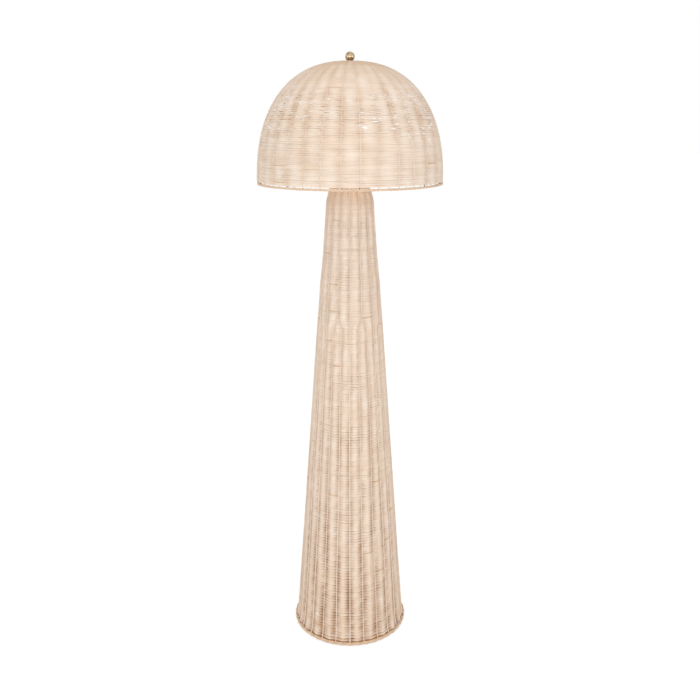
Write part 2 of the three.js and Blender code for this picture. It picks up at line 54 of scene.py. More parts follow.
# The curve between a written colour and a linear one
CURVE_START = 0.04045
CURVE_SLOPE = 12.92
CURVE_OFFSET = 0.055
CURVE_POWER = 2.4

# How meshes are made
MERGE_DISTANCE = 1e-6
CRISP_ANGLE = 0.6
DISC_FACETS = 64
DISC_RIM_STEPS = 8
RING_POINTS = 96
# Share of the painted shade in a groove where a strand faces the other strand of its pair
MATE_GROOVE_SHARE = 0.3

# A draw strays by so many of its spreads at most, and stakes lie apart by this angle at least
WIDEST_DRAW = 2
SMALLEST_GAP = 1e-6

Point = tuple[float, float]
Place = tuple[float, float, float]
Colour = tuple[float, float, float, float]


def linear(code: str) -> Colour:
    """Turn a written colour into the linear one that shaders read.

    Args:
        code: six hexadecimal digits, such as E8D3BB.

    Returns:
        Linear red, green and blue, and an alpha of 1.
    """
    shares = [int(code[start:start + 2], 16) / 255 for start in (0, 2, 4)]
    low = [share / CURVE_SLOPE for share in shares]
    high = [((share + CURVE_OFFSET) / (1 + CURVE_OFFSET)) ** CURVE_POWER for share in shares]
    red, green, blue = [a if share <= CURVE_START else b for share, a, b in zip(shares, low, high)]
    return red, green, blue, 1.0


def eased(share: np.ndarray | float) -> np.ndarray | float:
    """Smooth step of a share that is first kept between 0 and 1."""
    kept = np.clip(share, 0, 1)
    return kept * kept * (3 - 2 * kept)


def fade(distance: float, reach: float) -> float:
    """Share that eases from 1 at no distance to 0 at a reach."""
    return float(eased(1 - distance / reach))


def plateau(distance: float, start: float, end: float, parts: int) -> float:
    """Share of 1 from a start to an end, eased at either side over one of so many equal parts."""
    edge = (end - start) / parts
    return float(eased((distance - start) / edge) * eased((end - distance) / edge))


def strayed_share(rng: np.random.Generator, spread: float) -> float:
    """Draw a share of about 1, with a spread."""
    return 1 + spread * float(np.clip(rng.normal(), -WIDEST_DRAW, WIDEST_DRAW))


# Profiles, strands and tubes


def around(reach: np.ndarray, heights: np.ndarray, angles: np.ndarray) -> np.ndarray:
    """Turn radii and heights to angles round the lamp, one row of three for each place."""
    return np.column_stack([reach * np.sin(angles), -reach * np.cos(angles), heights + 0 * angles])


@dataclass(frozen=True)
class Profile:
    """An outline that climbs from its first point and is turned about Z.

    Attributes:
        radii: radius of each point.
        heights: height of each point.
    """

    radii: np.ndarray
    heights: np.ndarray

    @property
    def lengths(self) -> np.ndarray:
        """Distance of each point from the first, along the profile."""
        steps = np.hypot(np.diff(self.radii), np.diff(self.heights))
        return np.concatenate([[0.0], np.cumsum(steps)])

    @property
    def length(self) -> float:
        """Length of the whole profile."""
        return float(self.lengths[-1])

    def heading(self, distances: np.ndarray) -> tuple[np.ndarray, np.ndarray]:
        """Find which way the profile runs.

        Args:
            distances: distances along the profile.

        Returns:
            How far out and how far up it runs at each of them, for a step of 1.
        """
        lengths = self.lengths
        out = np.interp(distances, lengths, np.gradient(self.radii, lengths))
        up = np.interp(distances, lengths, np.gradient(self.heights, lengths))
        size = np.hypot(out, up)
        return out / size, up / size

    def place(self, distances: np.ndarray, depths: np.ndarray) -> tuple[np.ndarray, np.ndarray]:
        """Find places inside the profile.

        Args:
            distances: distances along the profile.
            depths: how deep each place lies inside the outline, square to it.

        Returns:
            Radius and height of each place.
        """
        out, up = self.heading(distances)
        radii = np.interp(distances, self.lengths, self.radii) - depths * up
        return radii, np.interp(distances, self.lengths, self.heights) + depths * out

    def outward(self, distances: np.ndarray, angles: np.ndarray) -> np.ndarray:
        """Unit normals of the outline at some distances, each turned to its angle."""
        out, up = self.heading(distances)
        return around(up, -out, angles)

    def distance_at(self, height: float) -> float:
        """Distance along the profile at which it reaches a height."""
        return float(np.interp(height, self.heights, self.lengths))


@dataclass(frozen=True)
class Waves:
    """What a random field is drawn from.

    Attributes:
        count: how many waves it adds up.
        turns: fewest whole waves in a turn, and the number that they stay under.
        wavelength: shortest wavelength along the profile.
    """

    count: int
    turns: tuple[int, int]
    wavelength: float = 1.0


@dataclass(frozen=True)
class Ripple:
    """A smooth random field round the lamp: waves that close on themselves.

    Attributes:
        turns: whole waves in a turn, one for each wave.
        climbs: radians that each wave slides per metre along the profile.
        phases: start of each wave.
    """

    turns: np.ndarray
    climbs: np.ndarray
    phases: np.ndarray

    @classmethod
    def seeded(cls, rng: np.random.Generator, waves: Waves) -> "Ripple":
        """Draw a field, whose values then have a spread of about 1."""
        climbs = rng.uniform(-1, 1, waves.count) * TURN / waves.wavelength
        return cls(rng.integers(*waves.turns, waves.count), climbs, rng.uniform(0, TURN, waves.count))

    def at(self, angles: np.ndarray, distance: np.ndarray | float) -> np.ndarray:
        """Read the field.

        Args:
            angles: angles round the lamp.
            distance: one distance along the profile, or one for each angle.

        Returns:
            The value at each angle.
        """
        slides = np.multiply.outer(self.climbs, np.broadcast_to(distance, angles.shape))
        waves = np.cos(np.multiply.outer(self.turns, angles) + slides + self.phases[:, None])
        return waves.sum(axis=0) * math.sqrt(2 / len(self.turns))


@dataclass
class Strand:
    """One round strand of rattan.

    Attributes:
        points: its centreline, one row of three for each point.
        outward: unit vectors that point out of the weave, one row of three for each point.
        radii: its radius at each point.
        tones: 0 for tan to 1 for pale, and more for a painted speck of light, at each point.
        hollows: how much of the stains and painted shade reaches it, 0 on a crest and more in a valley, at
            each point.
        is_ring: whether it closes on itself.
        side: 1 for the upper strand of a pair, -1 for its lower one and 0 for a single strand.
    """

    points: np.ndarray
    outward: np.ndarray
    radii: np.ndarray
    tones: np.ndarray
    hollows: np.ndarray
    is_ring: bool = True
    side: int = 0


class Section(Enum):
    """How round a strand is made, by the bevel resolution of its curve."""

    FINE = 2
    ROUND = 1
    PLAIN = 0

    @property
    def sides(self) -> int:
        """Sides of the strand's section."""
        return 4 + 2 * self.value


def laid(name: str, strands: list[Strand], section: Section) -> bpy.types.Curve:
    """Lay a curve along every strand.

    Args:
        name: the curve's name.
        strands: the strands, all of them rings or all of them open.
        section: how round they are.

    Returns:
        The curve, with its thickness.
    """
    curve = bpy.data.curves.new(name, "CURVE")
    curve.dimensions = "3D"
    curve.twist_mode = "Z_UP" if strands[0].is_ring else "MINIMUM"
    curve.bevel_depth = 1.0
    curve.bevel_resolution = section.value
    for strand in strands:
        spline = curve.splines.new("POLY")
        spline.points.add(len(strand.points) - 1)
        places = np.column_stack([strand.points, np.ones(len(strand.points))])
        spline.points.foreach_set("co", places.ravel())
        spline.points.foreach_set("radius", strand.radii)
        spline.use_cyclic_u = strand.is_ring
        spline.use_smooth = True
    return curve


def tubes(name: str, strands: list[Strand], section: Section) -> bpy.types.Object:
    """Make one mesh piece of many strands.

    Args:
        name: the piece's name.
        strands: the strands, all of them rings or all of them open.
        section: how round they are.

    Returns:
        The piece, with its tone, its hollows and its grooves as attributes.
    """
    holder = bpy.data.objects.new(name + "_curve", laid(name, strands, section))
    bpy.context.scene.collection.objects.link(holder)
    shaped = holder.evaluated_get(bpy.context.evaluated_depsgraph_get())
    mesh = bpy.data.meshes.new_from_object(shaped)
    mesh.name = name
    bpy.data.objects.remove(holder)
    if not strands[0].is_ring:
        capped(mesh)
    written(mesh, "tone", for_vertices(strands, "tones", section))
    written(mesh, "hollow", for_vertices(strands, "hollows", section))
    written(mesh, "groove", grooves(mesh, strands, section))
    return linked(name, mesh)


def for_vertices(strands: list[Strand], key: str, section: Section) -> np.ndarray:
    """Values that strands hold for each point, repeated for every vertex round that point."""
    values = np.concatenate([getattr(strand, key) for strand in strands])
    return np.repeat(values, section.sides, axis=0)


def written(mesh: bpy.types.Mesh, key: str, values: np.ndarray) -> None:
    """Keep one value for each vertex of a mesh under a name."""
    attribute = mesh.attributes.new(key, "FLOAT", "POINT")
    attribute.data.foreach_set("value", values.astype(np.float32))


def grooves(mesh: bpy.types.Mesh, strands: list[Strand], section: Section) -> np.ndarray:
    """Find where the sides of strands face each other, which the material darkens as painted shade.

    Args:
        mesh: the mesh made of the strands.
        strands: the strands.
        section: how round they are.

    Returns:
        For each vertex, 0 where it faces out of the weave or into the lamp and 1 where it faces a
        neighbour, but less where that is the other strand of its pair.
    """
    places = np.zeros(len(mesh.vertices) * 3)
    mesh.vertices.foreach_get("co", places)
    offsets = places.reshape(-1, 3) - for_vertices(strands, "points", section)
    offsets /= np.linalg.norm(offsets, axis=1)[:, None]
    outward = for_vertices(strands, "outward", section)
    facing = (offsets * outward).sum(axis=1)
    rise = offsets[:, 2] - facing * outward[:, 2]
    counts = [len(strand.points) * section.sides for strand in strands]
    sides = np.repeat([strand.side for strand in strands], counts)
    return (1 - facing ** 2) * np.where(rise * sides < 0, MATE_GROOVE_SHARE, 1)


def capped(mesh: bpy.types.Mesh) -> None:
    """Close the open ends of the tubes.

    Args:
        mesh: a mesh of tubes.
    """
    shape = bmesh.new()
    shape.from_mesh(mesh)
    bmesh.ops.holes_fill(shape, edges=shape.edges, sides=0)
    shape.to_mesh(mesh)
    shape.free()


def linked(name: str, mesh: bpy.types.Mesh) -> bpy.types.Object:
    """Put a mesh into the scene.

    Args:
        name: the piece's name.
        mesh: its mesh.

    Returns:
        The piece, at the origin.
    """
    piece = bpy.data.objects.new(name, mesh)
    bpy.context.scene.collection.objects.link(piece)
    return piece


def turned(name: str, outline: list[Point], facets: int) -> bpy.types.Object:
    """Turn an outline about Z.

    Args:
        name: the piece's name.
        outline: radius and height of each corner, closed or from axis to axis.
        facets: facets round the axis.

    Returns:
        The piece, shaded smooth but for its crisp edges.
    """
    shape = bmesh.new()
    corners = [shape.verts.new((radius, 0, height)) for radius, height in outline]
    edges = [shape.edges.new(pair) for pair in zip(corners, corners[1:])]
    bmesh.ops.spin(shape, geom=corners + edges, cent=(0, 0, 0), axis=(0, 0, 1), angle=TURN, steps=facets,
                   use_merge=True)
    bmesh.ops.remove_doubles(shape, verts=shape.verts, dist=MERGE_DISTANCE)
    bmesh.ops.recalc_face_normals(shape, faces=shape.faces)
    for face in shape.faces:
        face.smooth = True
    mesh = bpy.data.meshes.new(name)
    shape.to_mesh(mesh)
    shape.free()
    mesh.set_sharp_from_angle(angle=CRISP_ANGLE)
    return linked(name, mesh)


def arc(centre: Point, radius: float, start: float, end: float, steps: int) -> list[Point]:
    """Points on an arc of an outline, its angles counted from straight down."""
    angles = np.linspace(start, end, steps + 1)
    return [(centre[0] + radius * math.sin(a), centre[1] - radius * math.cos(a)) for a in angles]


def flowing(points: list[Point], steps: int) -> list[Point]:
    """Run a smooth curve through points of an outline.

    Args:
        points: the points.
        steps: steps from one point to the next.

    Returns:
        Points of the curve.
    """
    given = np.array(points)
    given = np.vstack([2 * given[0] - given[1], given, 2 * given[-1] - given[-2]])
    curve = []
    for before, start, end, after in zip(given, given[1:], given[2:], given[3:]):
        for share in np.linspace(0, 1, steps, endpoint=False):
            bend = (2 * before - 5 * start + 4 * end - after) * share ** 2
            twist = (3 * start - before - 3 * end + after) * share ** 3
            curve.append(start + 0.5 * ((end - before) * share + bend + twist))
    return [tuple(point) for point in curve + [given[-2]]]


def disc(name: str, hole: float, radius: float, thickness: float, bottom: float) -> bpy.types.Object:
    """Turn a flat ring with a round edge.

    Args:
        name: the piece's name.
        hole: radius of its hole.
        radius: its outer radius.
        thickness: its thickness.
        bottom: height of its lower face.

    Returns:
        The piece.
    """
    half = thickness / 2
    rim = arc((radius - half, bottom + half), half, 0, math.pi, DISC_RIM_STEPS)
    return turned(name, [(hole, bottom), *rim, (hole, bottom + thickness), (hole, bottom)], DISC_FACETS)


def shifted(piece: bpy.types.Object, across: float, back: float = 0.0, up: float = 0.0) -> bpy.types.Object:
    """Move the mesh of a piece and leave its object at the origin."""
    piece.data.transform(Matrix.Translation((across, back, up)))
    return piece


def dressed(piece: bpy.types.Object, material: bpy.types.Material) -> bpy.types.Object:
    """Give a piece its one material.

    Args:
        piece: the piece.
        material: its finish.

    Returns:
        The same piece.
    """
    piece.data.materials.clear()
    piece.data.materials.append(material)
    return piece


def settled(piece: bpy.types.Object, body: str, slot: str, *nodes: str) -> None:
    """Let a finished piece ride and stand for CAD nodes.

    Args:
        piece: the finished piece.
        body: the CAD body that it rides on.
        slot: not used.
        nodes: the CAD nodes that it stands for.
    """
    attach(piece, body)
    if nodes:
        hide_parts(*nodes)
    LOG.info("%s: %d faces on %s", piece.name, len(piece.data.polygons), body)


def dress_nodes(material: bpy.types.Material, *names: str) -> None:
    """Give CAD nodes that stay in view their material.

    Args:
        material: the finish.
        names: the nodes' names.
    """
    for name in names:
        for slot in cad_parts[name].material_slots:
            slot.material = material
        LOG.info("%s: dressed", name)


# Shader parts


@dataclass(frozen=True)
class Grain:
    """Noise on a piece's own coordinates.

    Attributes:
        scale: how many patches a metre holds.
        detail: how many finer layers it adds.
        squeeze: how many times as many patches there are along Z.
    """

    scale: float
    detail: float
    squeeze: float = 1.0


class ShaderTree:
    """A node tree that is written by short calls."""

    def __init__(self, tree: bpy.types.NodeTree) -> None:
        """Start from an empty tree."""
        self.tree = tree
        tree.nodes.clear()

    def add(self, kind: str, settings: dict | None = None, **inputs: object) -> bpy.types.Node:
        """Add a node.

        Args:
            kind: the node's type.
            settings: properties of the node itself.
            inputs: values or sockets for its inputs, each by its name in lower case with underscores.

        Returns:
            The node.
        """
        node = self.tree.nodes.new(kind)
        for key, value in (settings or {}).items():
            setattr(node, key, value)
        for key, value in inputs.items():
            self.feed(node, key, value)
        return node

    def feed(self, node: bpy.types.Node, key: str, value: object) -> None:
        """Link a socket to an input, or set its value.

        Args:
            node: the node.
            key: the input's name in lower case with underscores, or in_ and its number.
            value: a socket or a plain value.
        """
        if key.startswith("in_"):
            socket = node.inputs[int(key.removeprefix("in_"))]
        else:
            usable = [item for item in reversed(node.inputs) if item.enabled]
            socket = {item.name.lower().replace(" ", "_"): item for item in usable}[key]
        if isinstance(value, bpy.types.NodeSocket):
            self.tree.links.new(value, socket)
        else:
            socket.default_value = value

    def math(self, operation: str, first: object, second: object = 0.0,
             clamp: bool = False) -> bpy.types.NodeSocket:
        """Add a sum, product or other operation on two values and give its result."""
        settings = {"operation": operation, "use_clamp": clamp}
        return self.add("ShaderNodeMath", settings, in_0=first, in_1=second).outputs[0]

    def scaled(self, value: object, factor: object, more: object = 0.0,
               clamp: bool = False) -> bpy.types.NodeSocket:
        """Multiply a value, add another to it and give the result."""
        return self.math("ADD", self.math("MULTIPLY", value, factor), more, clamp)

    def mix(self, share: object, first: object, second: object) -> bpy.types.NodeSocket:
        """Mix two colours by a share and give the result."""
        node = self.add("ShaderNodeMix", {"data_type": "RGBA"}, in_0=share, in_6=first, in_7=second)
        return node.outputs[2]

    def noise(self, grain: Grain) -> bpy.types.NodeSocket:
        """Add noise on the piece's own coordinates.

        Args:
            grain: what the noise is like.

        Returns:
            Its value.
        """
        place = self.add("ShaderNodeTexCoord").outputs["Object"]
        moved = self.add("ShaderNodeMapping", None, vector=place, scale=(1, 1, grain.squeeze)).outputs[0]
        noise = self.add("ShaderNodeTexNoise", None, vector=moved, scale=grain.scale, detail=grain.detail)
        return noise.outputs[0]

    def bump(self, surface: bpy.types.Node, height: bpy.types.NodeSocket, strength: float,
             distance: float) -> None:
        """Give a surface a grain of some height."""
        bump = self.add("ShaderNodeBump", None, strength=strength, distance=distance, height=height)
        self.feed(surface, "normal", bump.outputs[0])


class ShaderGroups:
    """The shader groups that several materials use, each built once."""

    blotch_grain = Grain(22, 3, 1.6)
    fibre_grain = Grain(90, 2, 14)
    fibre_tone = 0.2
    # Tones over the speck start turn white: painted specks of light
    speck_start = 1.1
    speck_steepness = 4.0
    # Share of the painted groove shade that reaches a crest
    crest_groove_share = 0.1
    rattan_roughness = 0.52
    fibre_roughness = 0.3
    wear_grain = Grain(150, 4)
    dust_grain = Grain(900, 2)
    wear_share = 0.75

    def __init__(self) -> None:
        """Build every group."""
        self.rattan = self._rattan()
        self.wear = self._wear()

    @staticmethod
    def _open(name: str, inputs: dict[str, str], outputs: dict[str, str]) -> tuple:
        """Start a group.

        Args:
            name: the group's name.
            inputs: each input's name and kind of socket.
            outputs: each output's name and kind of socket.

        Returns:
            The group, its tree, the outputs of the node of its inputs and the node of its outputs.
        """
        group = bpy.data.node_groups.new(name, "ShaderNodeTree")
        for in_out, sockets in (("INPUT", inputs), ("OUTPUT", outputs)):
            for key, kind in sockets.items():
                group.interface.new_socket(key, in_out=in_out, socket_type="NodeSocket" + kind)
        tree = ShaderTree(group)
        return group, tree, tree.add("NodeGroupInput").outputs, tree.add("NodeGroupOutput")

    def _rattan(self) -> bpy.types.NodeTree:
        """Colour, roughness and height of bare rattan from its tone and its place in the weave.

        Stains and painted shade darken the valleys of the weave, and painted shade darkens the grooves
        between strands, there most of all. Tones over the speck start turn white: painted specks of light.

        Returns:
            The group.
        """
        group, tree, given, result = self._open(
            "rattan_fibres",
            {"Tone": "Float", "Hollow": "Float", "Groove": "Float", "Pale": "Color", "Tan": "Color",
             "Stain": "Color", "Blotches": "Float", "Staining": "Float", "Grooving": "Float"},
            {"Color": "Color", "Roughness": "Float", "Height": "Float"},
        )
        fibres = tree.math("SUBTRACT", tree.noise(self.fibre_grain), 0.5)
        colour = tree.mix(self._tone(tree, given, fibres), given["Tan"], given["Pale"])
        colour = tree.mix(self._stain_and_shade_share(tree, given), colour, given["Stain"])
        # Tones over the speck start turn white: painted specks of light where the loose weave would let
        # light through
        over = tree.math("SUBTRACT", given["Tone"], self.speck_start)
        speck = tree.math("MULTIPLY", over, self.speck_steepness, clamp=True)
        tree.feed(result, "color", tree.mix(speck, colour, (1, 1, 1, 1)))
        rough = tree.scaled(fibres, self.fibre_roughness, self.rattan_roughness, clamp=True)
        tree.feed(result, "roughness", rough)
        tree.feed(result, "height", fibres)
        return group

    def _tone(self, tree: ShaderTree, given: bpy.types.NodeOutputs,
              fibres: bpy.types.NodeSocket) -> bpy.types.NodeSocket:
        """Tone of the rattan with its blotches and fibres, from 0 for tan to 1 for pale.

        Args:
            tree: the group's tree.
            given: the group's inputs.
            fibres: the noise of the fibres, round 0.

        Returns:
            The tone.
        """
        blotches = tree.math("SUBTRACT", tree.noise(self.blotch_grain), 0.5)
        blotched = tree.scaled(blotches, given["Blotches"], given["Tone"])
        return tree.scaled(fibres, self.fibre_tone, blotched, clamp=True)

    def _stain_and_shade_share(self, tree: ShaderTree, given: bpy.types.NodeOutputs) -> bpy.types.NodeSocket:
        """Share of the darkening colour: stains and painted shade in valleys, painted shade in grooves.

        Args:
            tree: the group's tree.
            given: the group's inputs.

        Returns:
            The share.
        """
        valley = tree.math("MULTIPLY", given["Hollow"], given["Staining"])
        depth = tree.scaled(given["Hollow"], 1 - self.crest_groove_share, self.crest_groove_share)
        groove = tree.math("MULTIPLY", given["Groove"], given["Grooving"])
        return tree.scaled(groove, depth, valley, clamp=True)

    def _wear(self) -> bpy.types.NodeTree:
        """Mask and height of patchy wear, patina or dust.

        Returns:
            The group.
        """
        group, tree, given, result = self._open(
            "patchy_wear", {"Amount": "Float", "Softness": "Float"}, {"Mask": "Float", "Height": "Float"})
        patches = tree.math("MULTIPLY", tree.noise(self.wear_grain), self.wear_share)
        both = tree.scaled(tree.noise(self.dust_grain), 1 - self.wear_share, patches)
        over = tree.math("SUBTRACT", both, tree.math("SUBTRACT", 1.0, given["Amount"]))
        tree.feed(result, "mask", tree.math("DIVIDE", over, given["Softness"], clamp=True))
        tree.feed(result, "height", both)
        return group


def new_material(name: str) -> tuple[bpy.types.Material, ShaderTree, bpy.types.Node]:
    """Start a material.

    Args:
        name: the material's name.

    Returns:
        The material, its tree and its Principled BSDF.
    """
    material = bpy.data.materials.new(name)
    material.use_nodes = True
    tree = ShaderTree(material.node_tree)
    surface = tree.add("ShaderNodeBsdfPrincipled")
    tree.add("ShaderNodeOutputMaterial", None, surface=surface.outputs[0])
    return material, tree, surface


# Finishes


@dataclass(frozen=True)
class RattanFinish:
    """Bare rattan, from tan to pale, darkened by stains and painted shade where the weave dives.

    Attributes:
        name: the material's name.
        pale: colour of the palest strands.
        tan: colour of the darkest strands.
        stain: colour of the stains and painted shade that gather in the hollows.
        staining: share of that colour in a valley of the weave.
        grooving: share of that colour in a groove between strands, as painted shade.
        blotches: strength of the patches along a strand.
        specular: how much plain light it throws back.
        bump: strength of the grain of its fibres.
        grain: height of that grain.
    """

    name: str
    pale: str = "FBEFE2"
    tan: str = "DDBB98"
    stain: str = "96683F"
    staining: float = 0.4
    grooving: float = 0.4
    blotches: float = 0.25
    specular: float = 0.25
    bump: float = 0.5
    grain: float = 0.0002

    def material(self, groups: ShaderGroups) -> bpy.types.Material:
        """Build the material.

        Args:
            groups: the shader groups.

        Returns:
            The material.
        """
        material, tree, surface = new_material(self.name)
        fibres = tree.add("ShaderNodeGroup", {"node_tree": groups.rattan}, pale=linear(self.pale),
                          tan=linear(self.tan), stain=linear(self.stain), staining=self.staining,
                          blotches=self.blotches, grooving=self.grooving)
        for key in ("tone", "hollow", "groove"):
            read = tree.add("ShaderNodeAttribute", {"attribute_name": key})
            tree.feed(fibres, key, read.outputs["Fac"])
        tree.feed(surface, "base_color", fibres.outputs["Color"])
        tree.feed(surface, "roughness", fibres.outputs["Roughness"])
        tree.feed(surface, "specular_ior_level", self.specular)
        tree.bump(surface, fibres.outputs["Height"], self.bump, self.grain)
        return material


@dataclass(frozen=True)
class HardFinish:
    """A hard finish with patchy wear: metal, paint, rubber, plastic or paper.

    Attributes:
        name: the material's name.
        colour: its own colour.
        worn: its colour where it is worn or dusty.
        roughness: its own roughness.
        worn_roughness: its roughness where it is worn.
        metallic: 1 for bare metal.
        amount: share of the surface that is worn.
        softness: width of the edge of a worn patch.
        bump: strength of the grain.
        grain: height of the grain.
    """

    name: str
    colour: str
    worn: str
    roughness: float
    worn_roughness: float
    metallic: float = 0.0
    amount: float = 0.5
    softness: float = 0.25
    bump: float = 0.4
    grain: float = 0.00005

    def material(self, groups: ShaderGroups) -> bpy.types.Material:
        """Build the material.

        Args:
            groups: the shader groups.

        Returns:
            The material.
        """
        material, tree, surface = new_material(self.name)
        wear = tree.add("ShaderNodeGroup", {"node_tree": groups.wear}, amount=self.amount,
                        softness=self.softness)
        mask = wear.outputs["Mask"]
        rough = tree.scaled(mask, self.worn_roughness - self.roughness, self.roughness)
        tree.feed(surface, "base_color", tree.mix(mask, linear(self.colour), linear(self.worn)))
        tree.feed(surface, "roughness", rough)
        tree.feed(surface, "metallic", self.metallic)
        tree.bump(surface, wear.outputs["Height"], self.bump, self.grain)
        return material


@dataclass(frozen=True)
class OpalFinish:
    """The frosted white glass of the bulb.

    Attributes:
        name: the material's name.
        colour: its own colour.
        dust: its colour where it is dusty.
        roughness: its roughness.
        amount: share of the surface that is dusty.
        softness: width of the edge of a dusty patch.
        scatter: share of the light that scatters inside it.
        depths: how deep its red, green and blue scatter.
    """

    name: str = "opal_glass"
    colour: str = "E8E4DC"
    dust: str = "DAD5CA"
    roughness: float = 0.25
    amount: float = 0.5
    softness: float = 0.4
    scatter: float = 0.3
    depths: Place = (0.01, 0.009, 0.008)

    def material(self, groups: ShaderGroups) -> bpy.types.Material:
        """Build the material.

        Args:
            groups: the shader groups.

        Returns:
            The material, with a faint dust.
        """
        material, tree, surface = new_material(self.name)
        wear = tree.add("ShaderNodeGroup", {"node_tree": groups.wear}, amount=self.amount,
                        softness=self.softness)
        dusty = tree.mix(wear.outputs["Mask"], linear(self.colour), linear(self.dust))
        tree.feed(surface, "base_color", dusty)
        tree.feed(surface, "roughness", self.roughness)
        tree.feed(surface, "subsurface_weight", self.scatter)
        tree.feed(surface, "subsurface_radius", self.depths)
        return material


# Each rattan finish darkens its valleys with stains and painted shade, and its grooves with painted shade
COLUMN_RATTAN = RattanFinish("column_rattan", stain="A2734A", staining=0.3, grooving=0.6)
SHADE_RATTAN = RattanFinish("shade_rattan", stain="BC8A56", staining=0.16, grooving=0.85)
RATTAN_PEEL = RattanFinish("rattan_peel", pale="F6E3CE", staining=0.3)
ANTIQUE_BRASS = HardFinish("antique_brass", "C4AC8C", "54432F", 0.22, 0.5, metallic=0.85, softness=0.12)
HOLDER_BRASS = HardFinish("holder_brass", "C9B08A", "9C8158", 0.24, 0.4, metallic=0.9, amount=0.42,
                          softness=0.5)
BLACK_STEEL = HardFinish("black_steel", "232221", "4A4744", 0.42, 0.6, metallic=0.4, amount=0.42)
ZINC_STEEL = HardFinish("zinc_steel", "B9BBBC", "8E9294", 0.3, 0.5, metallic=0.95)
ALUMINIUM = HardFinish("aluminium", "CBCCCE", "A9ABAE", 0.25, 0.4, metallic=0.95)
BLACK_RUBBER = HardFinish("black_rubber", "1C1B1A", "3A3733", 0.8, 0.9, amount=0.45)
DARK_PLASTIC = HardFinish("dark_plastic", "241F1C", "3B342F", 0.4, 0.55, amount=0.42)
INSULATING_PAPER = HardFinish("insulating_paper", "B89E7C", "A1855F", 0.85, 0.9)


class Finishes:
    """Every finish of the lamp, built once."""

    def __init__(self) -> None:
        """Build the groups and the materials."""
        groups = ShaderGroups()
        self.column = COLUMN_RATTAN.material(groups)
        self.shade = SHADE_RATTAN.material(groups)
        self.peel = RATTAN_PEEL.material(groups)
        self.brass = ANTIQUE_BRASS.material(groups)
        self.holder_brass = HOLDER_BRASS.material(groups)
        self.black_steel = BLACK_STEEL.material(groups)
        self.zinc = ZINC_STEEL.material(groups)
        self.aluminium = ALUMINIUM.material(groups)
        self.rubber = BLACK_RUBBER.material(groups)
        self.plastic = DARK_PLASTIC.material(groups)
        self.paper = INSULATING_PAPER.material(groups)
        self.opal = OpalFinish().material(groups)


# The weave


